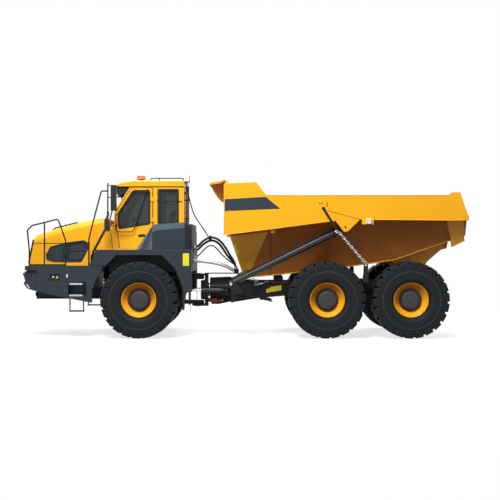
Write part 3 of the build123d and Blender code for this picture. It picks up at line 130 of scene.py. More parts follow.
# The sheets under the body are the same yellow paint; they face the dark ground, so their browner tone is painted
# shade.
hull_painted_shade_enamel = enamel("hull_yellow_painted_shade", "#D08040", "#BC6E30", roughness=0.65, coat=0.02, mirror=0.2)
# The front facet's yellow is a paler copy of the body yellow: painted light on a face that lies in shade.
facet_painted_light_enamel = enamel("facet_yellow_painted_light", "#FFB626", "#FFAC1C", roughness=0.45, coat=0.1, mirror=0.4)
bed_enamel = enamel("load_bed_enamel", "#EAA622", "#D9961A", roughness=0.65, coat=0.02, mirror=0.2)
rim_enamel = enamel("rim_yellow_enamel", "#F8A814", "#F09C0C", dust_amount=0.0)
grey_enamel = enamel("dark_grey_enamel", "#29323A", "#232B31", roughness=0.55, dust_amount=0.015, coat=0.03,
                     mirror=0.25)
# A lighter copy of the dark grey enamel: painted highlight for the housings' upturned faces.
band_painted_highlight_enamel = enamel("blue_grey_painted_highlight", "#54636E", "#4A5862", roughness=0.5, coat=0.05, mirror=0.3)
chassis_enamel = enamel("black_chassis_enamel", "#15181B", "#101214", roughness=0.6, dust_amount=0.02, coat=0.02,
                        mirror=0.2)
cylinder_enamel = enamel("black_cylinder_enamel", "#1A1E22", "#14181B", roughness=0.44, dust_amount=0.02, coat=0.05,
                         mirror=0.35)
engine_enamel = enamel("engine_grey_enamel", "#4A4C4E", "#3C3E40", roughness=0.5, coat=0.05, mirror=0.3)
rail_enamel = enamel("black_rail_enamel", "#15181A", "#111315", roughness=0.5, coat=0.03, mirror=0.25)
red_enamel = enamel("dark_red_enamel", "#8E0E10", "#7A0A0C", roughness=0.4, coat=0.08, mirror=0.3)
print("enamels made")

# %% [markdown]
# ## Rubber, plastics, glass and bare metal
# Tyre rubber is a matt black with a fine moulded grain and a breath of dust. ABS trim is a little smoother, and
# hose covers are smoother still. Galvanised steel keeps the crystals of its zinc. The rods of the cylinders are
# hard chrome. The exhaust is mild steel that heat has browned.

# %% Tyre rubber
tyre_rubber, tree, shader = new_finish("tyre_rubber", {"Roughness": 0.72, "IOR": 1.52,
                                                       "Specular IOR Level": 0.22})
place = add_node(tree, "ShaderNodeTexCoord").outputs["Object"]
bloom = add_node(tree, "ShaderNodeTexNoise", {"Scale": 3.0, "Detail": 8.0, "Roughness": 0.6}, {"Vector": place})
blotches = add_node(tree, "ShaderNodeMapRange", {"From Min": 0.35, "From Max": 0.75}, {"Value": bloom.outputs["Fac"]})
tone = add_node(tree, "ShaderNodeMix", {"data_type": "RGBA", 6: linear("#070B0E"), 7: linear("#0F1418")},
                {0: blotches.outputs["Result"]})
tree.links.new(tone.outputs[2], shader.inputs["Base Color"])
grain = add_node(tree, "ShaderNodeTexNoise", {"Scale": 160.0, "Detail": 2.0}, {"Vector": place})
bump = add_node(tree, "ShaderNodeBump", {"Strength": 0.25, "Distance": 0.002}, {"Height": grain.outputs["Fac"]})
tree.links.new(bump.outputs["Normal"], shader.inputs["Normal"])


# %% Moulded plastic and hose rubber
def moulded(name, colour, shade, roughness, grain_scale, depth):
    """A moulded surface with a leather-like grain: the noise scale is in grains per metre."""
    material, tree, shader = new_finish(name, {"Roughness": roughness, "IOR": 1.5, "Specular IOR Level": 0.3})
    place = add_node(tree, "ShaderNodeTexCoord").outputs["Object"]
    patches = add_node(tree, "ShaderNodeTexNoise", {"Scale": 5.0, "Detail": 4.0}, {"Vector": place})
    tone = add_node(tree, "ShaderNodeMix", {"data_type": "RGBA", 6: linear(colour), 7: linear(shade)},
                    {0: patches.outputs["Fac"]})
    tree.links.new(tone.outputs[2], shader.inputs["Base Color"])
    grain = add_node(tree, "ShaderNodeTexVoronoi", {"Scale": grain_scale}, {"Vector": place})
    bump = add_node(tree, "ShaderNodeBump", {"Strength": 0.3, "Distance": depth},
                    {"Height": grain.outputs["Distance"]})
    tree.links.new(bump.outputs["Normal"], shader.inputs["Normal"])
    return material


abs_black = moulded("black_abs", "#1B1E20", "#131517", 0.5, 120.0, 0.0008)
intake_abs = moulded("intake_abs", "#2B343B", "#232B31", 0.45, 120.0, 0.0008)
hose_cover = moulded("hose_cover_rubber", "#191A1C", "#101113", 0.55, 200.0, 0.0006)
seal_rubber = moulded("window_seal_rubber", "#0E0F10", "#161718", 0.6, 150.0, 0.0005)
seat_cloth = moulded("seat_cloth", "#202226", "#17181B", 0.9, 300.0, 0.001)
sticker_yellow = moulded("sticker_vinyl_yellow", "#E8E337", "#DDD62C", 0.35, 60.0, 0.0001)
# A paler copy of the sticker vinyl: painted light for the sticker on the shaded front facet.
sticker_painted_light = moulded("sticker_vinyl_painted_light", "#FFFF6A", "#FFFF50", 0.35, 60.0, 0.0001)
badge_vinyl = moulded("badge_vinyl_dark", "#2C373F", "#27313A", 0.35, 60.0, 0.0001)
beacon_amber = moulded("beacon_amber_plastic", "#D8703A", "#C8602C", 0.2, 60.0, 0.0002)
lens_clear = moulded("lamp_lens_plastic", "#C9CBB8", "#B5B28E", 0.12, 60.0, 0.0003)
# A paler rubber for the bevels on the lug edges: painted highlight.
lug_edge_highlight_rubber = moulded("lug_edge_highlight_rubber", "#343B41", "#262C31", 0.8, 90.0, 0.0008)
grip_sheet = moulded("grip_sheet_black", "#1A1C1E", "#131416", 0.8, 26.0, 0.004)
reflector_white = moulded("white_reflector_film", "#E4E6E4", "#D8DAD8", 0.3, 90.0, 0.0003)
reflector_red = moulded("red_reflector_film", "#B01518", "#A01014", 0.3, 90.0, 0.0003)


# %% Bare metals
def bare_metal(name, colour, shade, roughness, scale, metallic=1.0):
    """Bare metal: patches of slightly different tone and gloss, as zinc crystals, oil or rust give it."""
    material, tree, shader = new_finish(name, {"Metallic": metallic, "Roughness": roughness})
    place = add_node(tree, "ShaderNodeTexCoord").outputs["Object"]
    patches = add_node(tree, "ShaderNodeTexNoise", {"Scale": scale, "Detail": 5.0}, {"Vector": place})
    tone = add_node(tree, "ShaderNodeMix", {"data_type": "RGBA", 6: linear(colour), 7: linear(shade)},
                    {0: patches.outputs["Fac"]})
    tree.links.new(tone.outputs[2], shader.inputs["Base Color"])
    gloss = add_node(tree, "ShaderNodeMapRange", {"To Min": max(roughness - 0.12, 0.05), "To Max": roughness + 0.15},
                     {"Value": patches.outputs["Fac"]})
    tree.links.new(gloss.outputs["Result"], shader.inputs["Roughness"])
    bump = add_node(tree, "ShaderNodeBump", {"Strength": 0.15, "Distance": 0.001},
                    {"Height": patches.outputs["Fac"]})
    tree.links.new(bump.outputs["Normal"], shader.inputs["Normal"])
    return material


zinc_steel = bare_metal("galvanised_steel", "#C8CED1", "#8F979C", 0.42, 25.0, metallic=0.75)
hard_chrome = bare_metal("hard_chrome", "#C8CBCE", "#B8BCC0", 0.14, 10.0)
hot_steel = bare_metal("browned_exhaust_steel", "#8A5A45", "#5E3D30", 0.6, 9.0, metallic=0.2)
hub_iron = bare_metal("hub_cast_iron", "#36373B", "#28292C", 0.6, 30.0, metallic=0.2)
rust_bolt = bare_metal("rusty_bolt_steel", "#6E3F2C", "#4A2D24", 0.65, 60.0, metallic=0.3)

# %% Tinted glass
tinted_glass, tree, shader = new_finish("tinted_glass", {"Roughness": 0.03, "IOR": 1.5, "Alpha": 0.62,
                                                         "Transmission Weight": 0.0})
place = add_node(tree, "ShaderNodeTexCoord").outputs["Object"]
haze = add_node(tree, "ShaderNodeTexNoise", {"Scale": 2.0, "Detail": 3.0}, {"Vector": place})
tint = add_node(tree, "ShaderNodeMix", {"data_type": "RGBA", 6: linear("#1E2624"), 7: linear("#2C3532")},
                {0: haze.outputs["Fac"]})
tree.links.new(tint.outputs[2], shader.inputs["Base Color"])
print("materials", len(bpy.data.materials))

# %% [markdown]
# ## Finishes for the CAD nodes
# Each CAD node keeps its shape and gets its finish. Real plate and sheet edges are never knife-sharp, so a weld
# and a small bevel modifier round the CAD's edges by a few millimetres, which gives each edge its thin
# highlight.

# %% Assign finishes to the CAD nodes
node_finish = {
    yellow_enamel: ["cab_base", "cab_frame", "cab_roof", "cab_door", "hood_shell", "dump_headboard",
                    "dump_side_panels", "spill_guard", "dump_tail_frame"],
    # The hull sheets and the floor take the brown painted shade.
    hull_painted_shade_enamel: ["dump_hull_sides", "dump_floor"],
    grey_enamel: ["front_bumper", "skirts", "fenders", "tank_housings", "rear_bulkhead", "walkways"],
    chassis_enamel: ["front_frame", "front_axle", "front_suspension", "radiator", "drive_shaft",
                     "hitch", "rear_frame", "chain_brackets", "bogie"],
    cylinder_enamel: ["tip_barrel_left", "tip_barrel_right", "steer_barrel_left", "steer_barrel_right"],
    engine_enamel: ["engine_block"],
    rail_enamel: ["handrails", "ladders"],
    abs_black: ["mirrors", "hood_grilles", "steering_console", "lamps"],
    seat_cloth: ["seat"],
    tinted_glass: ["cab_glass", "door_glass"],
    hot_steel: ["exhaust_stack"],
    hard_chrome: ["tip_rod_left", "tip_rod_right", "steer_rod_left", "steer_rod_right"],
    hose_cover: ["hoses"],
    zinc_steel: ["body_chain"],
    tyre_rubber: [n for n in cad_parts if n.startswith("tyre_")],
    rim_enamel: [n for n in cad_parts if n.startswith("rim_")],
}
for finish, names in node_finish.items():
    for name in names:
        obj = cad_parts[name]
        for material_slot in obj.material_slots:
            material_slot.material = finish
left_bare = set(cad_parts) - {n for names in node_finish.values() for n in names}
print("nodes left bare:", sorted(left_bare))

sharp = math.radians(25)  # edges that turn more than this are rounded
edge_radius = {"cab_base": 0.012, "cab_frame": 0.012, "cab_roof": 0.025, "fenders": 0.014, "tank_housings": 0.014,
               "front_bumper": 0.014, "skirts": 0.008, "dump_side_panels": 0.008, "dump_headboard": 0.006,
               "cab_door": 0.006, "seat": 0.03, "mirrors": 0.008}
for name, radius in edge_radius.items():
    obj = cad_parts[name]
    weld = obj.modifiers.new("weld", "WELD")
    weld.merge_threshold = 0.0002
    bevel = obj.modifiers.new("bevel", "BEVEL")
    bevel.width = radius
    bevel.segments = 2
    bevel.limit_method = "ANGLE"
    bevel.angle_limit = sharp
print("nodes with rounded edges:", len(edge_radius))

# %% [markdown]
# ## Second finishes
# Some CAD nodes carry a piece of another stuff: the amber dome on the beacon, the rubber sleeve round the chain's
# upper end, the black eye on a bright rod. The bed of the dump body, which the sky lights, takes a plain yellow
# without the hull's painted shade. Here the faces are picked by where they lie and which way they face, and get
# the node's second material slot. The shape stays as it is.

# %% Faces with a second finish
def second_finish(name, finish, picked):
    """Gives the faces of a CAD node whose middle passes the test a further material."""
    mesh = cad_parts[name].data
    mesh.materials.append(finish)
    faces = [face for face in mesh.polygons if picked(face.center, face.normal)]
    for face in faces:
        face.material_index = len(mesh.materials) - 1
    print(name, "faces in", finish.name, len(faces))


beacon_dome_foot, sleeve_foot = 3.668, 2.42
tip_foot_x, tip_foot_z = -0.310, 1.233
tip_head_x, tip_head_z, tip_eye_radius = 2.182, 2.462, 0.081
steer_eye_end = -1.398
second_finish("lamps", beacon_amber, lambda at, way: at.z > beacon_dome_foot)
second_finish("dump_floor", bed_enamel, lambda at, way: way.z > 0.3)
second_finish("dump_hull_sides", bed_enamel, lambda at, way: at.y * way.y < 0 and way.z > 0)
second_finish("body_chain", hose_cover, lambda at, way: at.z > sleeve_foot)
for name in ("tip_rod_left", "tip_rod_right"):
    second_finish(name, chassis_enamel,
                  lambda at, way: (at.x - tip_head_x) ** 2 + (at.z - tip_head_z) ** 2 < tip_eye_radius ** 2)
for name in ("steer_rod_left", "steer_rod_right"):
    second_finish(name, chassis_enamel, lambda at, way: at.x < steer_eye_end)

# %% [markdown]
# ## Mesh helpers
# Almost every added piece is one of five things: a flat plate with a cut outline, a flat frame, a turned part, a
# bent rod, or a set of bolts. One helper makes each of them, from the outlines that the side view gives.

# %% Helpers for added pieces
sides = (("left", -1), ("right", 1))
near_axis = 0.0005  # a turned part stops this far from its axis, so that its faces don't all meet in one point


def span(sign, near, far):
    """Two distances from the middle, as depths on the left or the right side, the lower one first."""
    return sorted((sign * near, sign * far))


def turns(count):
    """That many angles, spread evenly round a circle."""
    return [2 * math.pi * k / count for k in range(count)]


def box(u0, u1, v0, v1):
    """The outline of a rectangle from the corner (u0, v0) to the corner (u1, v1)."""
    return [(u0, v0), (u1, v0), (u1, v1), (u0, v1)]


def finish_piece(name, mesh, material, body, bevel=0.0, smooth=False):
    """Puts a mesh in the scene with its finish, and makes it ride on a body, if one is named."""
    mesh.name = name
    mesh.materials.clear()
    mesh.materials.append(material)
    obj = bpy.data.objects.new(name, mesh)
    bpy.context.scene.collection.objects.link(obj)
    if smooth:
        mesh.shade_smooth()
    if bevel:
        edge = obj.modifiers.new("bevel", "BEVEL")
        edge.width = bevel
        edge.segments = 2
        edge.limit_method = "ANGLE"
        edge.angle_limit = math.radians(35)
    if body:
        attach(obj, body)
    return obj


def mesh_of(verts, faces):
    """A closed mesh from points and faces, its normals turned outward."""
    mesh = bpy.data.meshes.new("piece")
    mesh.from_pydata([tuple(v) for v in verts], [], faces)
    form = bmesh.new()
    form.from_mesh(mesh)
    bmesh.ops.recalc_face_normals(form, faces=form.faces)
    form.to_mesh(mesh)
    form.free()
    return mesh


def prism(outline, low, high, place):
    """Points and faces of a plate: an outline of (u, v) between two depths, put in place by place(u, v, w)."""
    count = len(outline)
    verts = [place(u, v, w) for w in (low, high) for u, v in outline]
    faces = [tuple(range(count)), tuple(range(2 * count - 1, count - 1, -1))]
    faces += [(i, (i + 1) % count, count + (i + 1) % count, count + i) for i in range(count)]
    return verts, faces


def side_place(u, v, w):
    """A point of the side view: u forward to back, v up, w across."""
    return (u, w, v)


def plan_place(u, v, w):
    """A point seen from above: u forward to back, v across, w up."""
    return (u, v, w)


def front_place(u, v, w):
    """A point seen from the front: u across, v up, w forward to back."""
    return (w, u, v)


def plate(name, outline, low, high, place, material, body, bevel=0.0):
    """A finished piece cut from plate."""
    return finish_piece(name, mesh_of(*prism(outline, low, high, place)), material, body, bevel=bevel)


def plate_pair(name, outline, near, far, material, body, bevel=0.0):
    """The same side-view plate on the left and on the right, between two distances from the middle."""
    for side, sign in sides:
        low, high = span(sign, near, far)
        plate(f"{name}_{side}", outline, low, high, side_place, material, body, bevel=bevel)


def joined(parts):
    """Several (verts, faces) as one."""
    verts, faces = [], []
    for part_verts, part_faces in parts:
        start = len(verts)
        verts += list(part_verts)
        faces += [tuple(i + start for i in face) for face in part_faces]
    return verts, faces


def rounded(outline, radius, steps=4):
    """The outline with its corners rounded by short arcs."""
    points = []
    count = len(outline)
    for i in range(count):
        corner = Vector(outline[i])
        before = Vector(outline[i - 1]) - corner
        after = Vector(outline[(i + 1) % count]) - corner
        reach = min(radius, before.length * 0.45, after.length * 0.45)
        start, end = corner + before.normalized() * reach, corner + after.normalized() * reach
        for step in range(steps + 1):
            t = step / steps
            points.append(tuple(start * (1 - t) ** 2 + corner * 2 * t * (1 - t) + end * t ** 2))
    return points


def strip(points, width):
    """The outline of a band of that width along a path in a flat view."""
    left, right = [], []
    for i, point in enumerate(points):
        here = Vector(point)
        ahead = Vector(points[min(i + 1, len(points) - 1)]) - Vector(points[max(i - 1, 0)])
        normal = Vector((-ahead.y, ahead.x)).normalized() * width / 2
        left.append(tuple(here + normal))
        right.append(tuple(here - normal))
    return left + right[::-1]


def ring_plate(outline, width, low, high, place):
    """Points and faces of a flat frame: the band of that width inside an outline."""
    count = len(outline)
    area = sum(outline[i - 1][0] * outline[i][1] - outline[i][0] * outline[i - 1][1] for i in range(count))
    turn = 1 if area > 0 else -1
    inner = []
    for i in range(count):
        here = Vector(outline[i])
        into = (here - Vector(outline[i - 1])).normalized()
        out = (Vector(outline[(i + 1) % count]) - here).normalized()
        across = Vector((-into.y - out.y, into.x + out.x))
        across = across.normalized() * turn
        inner.append(tuple(here + across * width / max(0.4, across.dot(Vector((-into.y, into.x)) * turn))))
    verts = [place(u, v, w) for w in (low, high) for loop in (outline, inner) for u, v in loop]
    faces = []
    for i in range(count):
        j = (i + 1) % count
        faces += [(i, j, count + j, count + i), (2 * count + i, 3 * count + i, 3 * count + j, 2 * count + j),
                  (i, 2 * count + i, 2 * count + j, j), (count + i, count + j, 3 * count + j, 3 * count + i)]
    return verts, faces


def framed(name, outline, width, low, high, place, material, body, bevel=0.0):
    """A finished piece in the form of a flat frame."""
    return finish_piece(name, mesh_of(*ring_plate(outline, width, low, high, place)), material, body, bevel=bevel)


def turned(section, centre, axis, segments=64):
    """Points and faces of a turned part: a closed section of (along the axis, radius)."""
    along = Vector(axis).normalized()
    side = along.orthogonal().normalized()
    up = along.cross(side)
    count = len(section)
    verts = []
    for angle in turns(segments):
        out = side * math.cos(angle) + up * math.sin(angle)
        verts += [Vector(centre) + along * a + out * r for a, r in section]
    faces = []
    for k in range(segments):
        a, b = k * count, (k + 1) % segments * count
        faces += [(a + i, a + (i + 1) % count, b + (i + 1) % count, b + i) for i in range(count)]
    return verts, faces


def spun(name, section, centre, axis, segments, material, body, smooth=False):
    """A finished piece turned from bar."""
    return finish_piece(name, mesh_of(*turned(section, centre, axis, segments)), material, body, smooth=smooth)


def stud(radius, wall, height, crown):
    """The section of a round stud: a straight wall, then a chamfer up to its flat crown."""
    return [(0.0, radius), (wall, radius), (height, crown), (height, near_axis), (0.0, near_axis)]


def sleeve(half_length, inner, outer):
    """The section of a plain ring, half its length either way of its middle."""
    return [(-half_length, inner), (-half_length, outer), (half_length, outer), (half_length, inner)]


def coupling(start, radius, length):
    """The section of a hose coupling that narrows at its mouth."""
    return [(start, radius), (length - 0.006, radius), (length, radius * 0.86), (length, radius * 0.75),
            (start, radius * 0.75)]


def bolt_heads(centres, axis, radius, height):
    """Points and faces of hexagon heads with a washer under each, all facing along the axis."""
    washer_radius, washer_height = radius * 1.35, height * 0.25
    parts = []
    for centre in centres:
        parts.append(turned([(0, near_axis), (0, washer_radius), (washer_height, washer_radius),
                             (washer_height, near_axis)], centre, axis, 12))
        parts.append(turned([(0, near_axis), (0, radius), (height * 0.85, radius), (height, radius * 0.85),
                             (height, near_axis)], centre, axis, 6))
    return joined(parts)


def bolts(name, centres, axis, radius, height, material, body):
    """A finished set of bolt heads."""
    return finish_piece(name, mesh_of(*bolt_heads(centres, axis, radius, height)), material, body)


def bent_rod(name, points, radius, material, body, curved=True):
    """A round rod or cable along points: a smooth spline, or straight runs between them."""
    curve = bpy.data.curves.new(name, "CURVE")
    curve.dimensions = "3D"
    curve.bevel_depth = radius
    curve.bevel_resolution = 3
    curve.use_fill_caps = True
    spline = curve.splines.new("NURBS" if curved else "POLY")
    spline.points.add(len(points) - 1)
    for point, place in zip(spline.points, points):
        point.co = (*place, 1.0)
    if curved:
        spline.order_u = 3
        spline.use_endpoint_u = True
        spline.resolution_u = 8
    curve.materials.append(material)
    obj = bpy.data.objects.new(name, curve)
    bpy.context.scene.collection.objects.link(obj)
    if body:
        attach(obj, body)
    return obj


# %% [markdown]
# ## Tyres
# Each tyre is a turned carcass with round shoulders and moulded rings on its side wall. Heavy lugs stand on
# it: they start on the side wall, pass over the shoulder and end past the middle, by turns from the left and
# the right. The bevel that rounds their edges takes a second, paler rubber: a painted highlight along the
# lug edges. One mesh is made and moved to all six wheels.

# %% Tyre mesh
axles = {"front": -2.385, "middle": 1.865, "rear": 3.755}
axle_height = 0.87
wheel_middle = 1.1625
lug_count = 22
carcass_half = [
    (0.245, 0.3965), (0.290, 0.430), (0.316, 0.476), (0.324, 0.482), (0.327, 0.494), (0.324, 0.506),
    (0.3305, 0.552), (0.332, 0.600), (0.3315, 0.640), (0.327, 0.646), (0.3275, 0.652), (0.3315, 0.658),
    (0.330, 0.700), (0.326, 0.726), (0.318, 0.752), (0.308, 0.778), (0.294, 0.800), (0.262, 0.810),
    (0.120, 0.816),
]
carcass = [(-a, r) for a, r in carcass_half] + [(0.0, 0.817)] + carcass_half[::-1]


def lug(side, turn):
    """One lug: rings of four points from the side wall over the shoulder to past the tread's middle."""
    pitch = 2 * math.pi / lug_count
    rings = [
        # (across the tyre, top radius, base radius, middle and half width in pitches of the lugs)
        (0.3318, 0.742, 0.722, 0.00, 0.32),
        (0.3300, 0.796, 0.735, 0.00, 0.36),
        (0.3170, 0.852, 0.775, 0.00, 0.37),
        (0.2850, 0.8675, 0.790, 0.01, 0.37),
        (0.1900, 0.8690, 0.795, 0.04, 0.35),
        (0.1000, 0.8700, 0.800, 0.13, 0.32),
        (0.0200, 0.8700, 0.800, 0.27, 0.29),
        (-0.0250, 0.8695, 0.800, 0.35, 0.26),
    ]
    verts = []
    for across, top, base, middle, half in rings:
        centre = turn + middle * pitch
        wide = half * pitch
        for radius, angle in ((base, centre - wide * 1.12), (top, centre - wide), (top, centre + wide),
                              (base, centre + wide * 1.12)):
            verts.append((radius * math.cos(angle), side * across, radius * math.sin(angle)))
    faces = [(0, 1, 2, 3), tuple(4 * (len(rings) - 1) + i for i in (3, 2, 1, 0))]
    for k in range(len(rings) - 1):
        a, b = 4 * k, 4 * (k + 1)
        faces += [(a + i, b + i, b + (i + 1) % 4, a + (i + 1) % 4) for i in range(4)]
    return verts, faces


tyre_parts = [turned(carcass, (0, 0, 0), (0, 1, 0), 96)]
for number in range(lug_count):
    turn = 2 * math.pi * (number + 0.25) / lug_count - math.pi / 2
    tyre_parts.append(lug(1, turn))
    tyre_parts.append(lug(-1, turn + math.pi / lug_count))
tyre_verts, tyre_faces = joined(tyre_parts)
for axle, x in axles.items():
    for side, sign in sides:
        placed = [(v[0] + x, v[1] + sign * wheel_middle, v[2] + axle_height) for v in tyre_verts]
        tyre = finish_piece(f"lugged_tyre_{axle}_{side}", mesh_of(placed, tyre_faces), tyre_rubber,
                            f"wheel_{axle}_{side}", bevel=0.007)
        # The bevel takes the paler rubber, a painted highlight on the lug edges.
        tyre.data.materials.append(lug_edge_highlight_rubber)
        tyre.modifiers["bevel"].material = 1
        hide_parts(f"tyre_{axle}_{side}")
print("tyre points", len(tyre_verts))

# %% [markdown]
# ## Hubs
# A planetary hub sits deep in each rim: a cast drum with a flat cover, and a ring of wheel bolts round it that
# has gone rusty. The drum is turned just over the CAD's hub, and the bolts are set on its flange.

# %% Hubs and wheel bolts
dish = 0.1  # from the wheel's middle out to the hub's flange
wheel_bolt_circle, cover_bolt_circle = 0.246, 0.128
hub_section = [(-0.002, 0.286), (0.004, 0.284), (0.007, 0.225), (0.022, 0.221), (0.064, 0.212), (0.088, 0.193),
               (0.100, 0.160), (0.100, 0.066), (0.110, 0.056), (0.110, near_axis), (0.060, near_axis), (-0.002, 0.2)]
lock_ring = [(0.140, 0.372), (0.153, 0.380), (0.153, 0.392), (0.146, 0.3948), (0.138, 0.3948)]
for axle, x in axles.items():
    for side, sign in sides:
        body = f"wheel_{axle}_{side}"
        face = sign * (wheel_middle + dish)
        spun(f"hub_{axle}_{side}", hub_section, (x, face, axle_height), (0, sign, 0), 72, hub_iron, body)
        ring = [(x + wheel_bolt_circle * math.cos(a), face + sign * 0.004,
                 axle_height + wheel_bolt_circle * math.sin(a)) for a in turns(24)]
        bolts(f"wheel_bolts_{axle}_{side}", ring, (0, sign, 0), 0.014, 0.024, rust_bolt, body)
        cover = [(x + cover_bolt_circle * math.cos(a), face + sign * 0.100,
                  axle_height + cover_bolt_circle * math.sin(a)) for a in turns(12)]
        bolts(f"hub_cover_bolts_{axle}_{side}", cover, (0, sign, 0), 0.009, 0.010, hub_iron, body)
        spun(f"rim_lock_ring_{axle}_{side}", lock_ring, (x, face, axle_height), (0, sign, 0), 72, rim_enamel, body,
             smooth=True)
print("hubs dressed")

# %% [markdown]
# ## Window seals and glass trim
# The cab's glass is held by black rubber profiles that show as a dark line round each pane. Each seal is a flat
# frame that follows the pane's outline with round corners, a few millimetres proud of the sheet.

# %% Window seals
cab_side = 0.80
door_pane = [(-2.948, 2.862), (-2.598, 3.396), (-2.188, 3.396), (-2.188, 2.598), (-2.912, 2.488), (-2.948, 2.545)]
rear_pane = box(-2.010, -1.528, 3.420, 2.596)
door_seal = rounded(door_pane, 0.06)
rear_seal = rounded(rear_pane, 0.04)
side_seals = [
    # (name, outline, sign of its side, body)
    ("door_window_seal", door_seal, -1, "cab_door"),
    ("rear_window_seal_left", rear_seal, -1, "front_chassis"),
    ("rear_window_seal_right", rear_seal, 1, "front_chassis"),
    ("side_window_seal_right", door_seal, 1, "front_chassis"),
]
for name, outline, sign, body in side_seals:
    low, high = span(sign, cab_side - 0.03, cab_side + 0.008)
    framed(name, outline, 0.046, low, high, side_place, seal_rubber, body, bevel=0.002)
back_pane = rounded(box(-0.64, 0.64, 2.66, 3.38), 0.06)
framed("back_window_seal", back_pane, 0.034, -1.436, -1.402, front_place, seal_rubber, "front_chassis", bevel=0.002)
screen_low = rounded(box(-0.72, 0.72, 2.57, 2.90), 0.03)
framed("windscreen_seal", screen_low, 0.03, -3.036, -3.0, front_place, seal_rubber, "front_chassis", bevel=0.002)
print("seals", len(side_seals) + 2)

# %% [markdown]
# ## Seams and the door
# Panels meet in narrow gaps that read as dark lines. Each seam is a thin dark strip laid on the sheet, along the
# line that the real gap takes. Where the hood ends, a wide rubber profile closes the gap to the cab's cowl.

# %% Seams on hood and cab
seam_foot, seam_face = 0.7965, 0.802  # the strips stand a few millimetres out of the sheet
seams = [
    # (name, path in the side view, width, body)
    ("hood_shoulder_seam", [(-4.925, 2.158), (-4.500, 2.156), (-4.180, 2.156)], 0.016, "hood"),
    ("hood_nose_trim", [(-4.902, 2.236), (-4.932, 2.090), (-5.010, 1.700)], 0.040, "hood"),
    ("hood_gap_profile", [(-3.178, 2.590), (-3.530, 1.930)], 0.052, "front_chassis"),
    ("cowl_front_seam", [(-3.112, 2.44), (-3.100, 2.30), (-3.066, 2.030)], 0.012, "front_chassis"),
    ("pillar_seam", [(-2.020, 2.60), (-2.020, 3.44)], 0.014, "front_chassis"),
]
for name, path, width, body in seams:
    plate_pair(name, strip(path, width), seam_foot, seam_face, seal_rubber, body)
door_seams = [
    ("door_front_seam", [(-2.972, 2.62), (-2.968, 2.52), (-2.900, 2.050)]),
    ("door_slope_seam", [(-2.972, 2.905), (-2.645, 3.428)]),
    ("door_rear_seam", [(-2.140, 3.428), (-2.140, 2.585)]),
]
for name, path in door_seams:
    plate(name, strip(path, 0.014), -seam_face, -seam_foot, side_place, seal_rubber, "cab_door")
print("seams", 2 * len(seams) + len(door_seams))

# %% [markdown]
# ## Door furniture
# The door has a pull handle in a shallow cup. A thin black tube bends round the foot of its window and climbs
# along it to the top, which keeps branches off the glass and is something to hold on to.

# %% Door handle and door guard
cup = rounded([(-2.47, 2.300), (-2.31, 2.312), (-2.31, 2.370), (-2.47, 2.358)], 0.02)
plate("door_handle_cup", cup, -0.806, -0.79, side_place, abs_black, "cab_door", bevel=0.003)
bent_rod("door_handle_grip", [(-2.455, -0.80, 2.331), (-2.440, -0.812, 2.333), (-2.340, -0.812, 2.341),
                              (-2.325, -0.80, 2.343)], 0.008, abs_black, "cab_door")
guard = [(-2.925, -0.796, 2.872), (-2.940, -0.860, 2.860), (-2.978, -0.862, 2.800), (-2.982, -0.862, 2.760),
         (-2.982, -0.862, 2.540), (-2.980, -0.862, 2.500), (-2.955, -0.862, 2.440), (-2.920, -0.862, 2.418),
         (-2.650, -0.862, 2.418), (-2.600, -0.862, 2.425), (-2.560, -0.862, 2.490), (-2.540, -0.862, 2.530),
         (-2.285, -0.862, 3.300), (-2.262, -0.858, 3.370), (-2.250, -0.796, 3.416)]
bent_rod("door_guard_rail", guard, 0.011, rail_enamel, "cab_door")
print("door dressed")

# %% [markdown]
# ## Cowl, mud flaps and rails
# A yellow cowl fills the gap between the hood and the cab's front. Rubber flaps hang behind the front wheels. A low
# rail runs along each edge of the roof, a thin bar crosses each rear window, and a bracket stands beside each
# small mirror.

# %% Cowl, mud flaps and roof rails
cowl = [(-3.505, 1.930), (-3.160, 2.560), (-3.070, 2.590), (-3.032, 2.590), (-3.032, 2.540), (-2.946, 1.930)]
plate("cab_cowl", cowl, -0.7950, 0.7950, side_place, yellow_enamel, "front_chassis", bevel=0.008)
plate_pair("mud_flap", rounded(box(-1.416, -1.386, 0.625, 1.050), 0.008), 0.860, 1.230, seal_rubber,
           "front_chassis", bevel=0.004)
roof_rail = [(-2.190, 3.610), (-2.190, 3.640), (-2.182, 3.660), (-2.160, 3.668), (-1.455, 3.668), (-1.433, 3.660),
             (-1.425, 3.640), (-1.425, 3.610)]
for side, sign in sides:
    y = sign * 0.740
    bent_rod(f"roof_rail_{side}", [(x, y, z) for x, z in roof_rail], 0.012, rail_enamel, "front_chassis",
             curved=False)
    bent_rod(f"roof_rail_post_{side}", [(-1.985, y, 3.610), (-1.985, y, 3.664)], 0.010, rail_enamel,
             "front_chassis", curved=False)
for side, sign in sides:
    bent_rod(f"side_window_bar_{side}", [(-2.045, sign * 0.797, 3.150), (-2.030, sign * 0.815, 3.149),
                                         (-1.470, sign * 0.815, 3.130), (-1.455, sign * 0.797, 3.129)],
             0.008, rail_enamel, "front_chassis", curved=False)
    arm = strip([(-3.128, 2.885), (-3.120, 2.800), (-3.150, 2.730), (-3.128, 2.640)], 0.050)
    low, high = span(sign, 1.100, 1.128)
    plate(f"mirror_arm_bracket_{side}", arm, low, high, side_place, abs_black, "front_chassis", bevel=0.005)
print("cowl, flaps, roof rails and mirror brackets placed")

# %% [markdown]
# ## Roof and windscreen fittings
# A black visor hangs under the roof's front edge. Behind it the windscreen has one wiper. A thin edge trim runs
# along both sides of the roof panel where it meets the pillars.

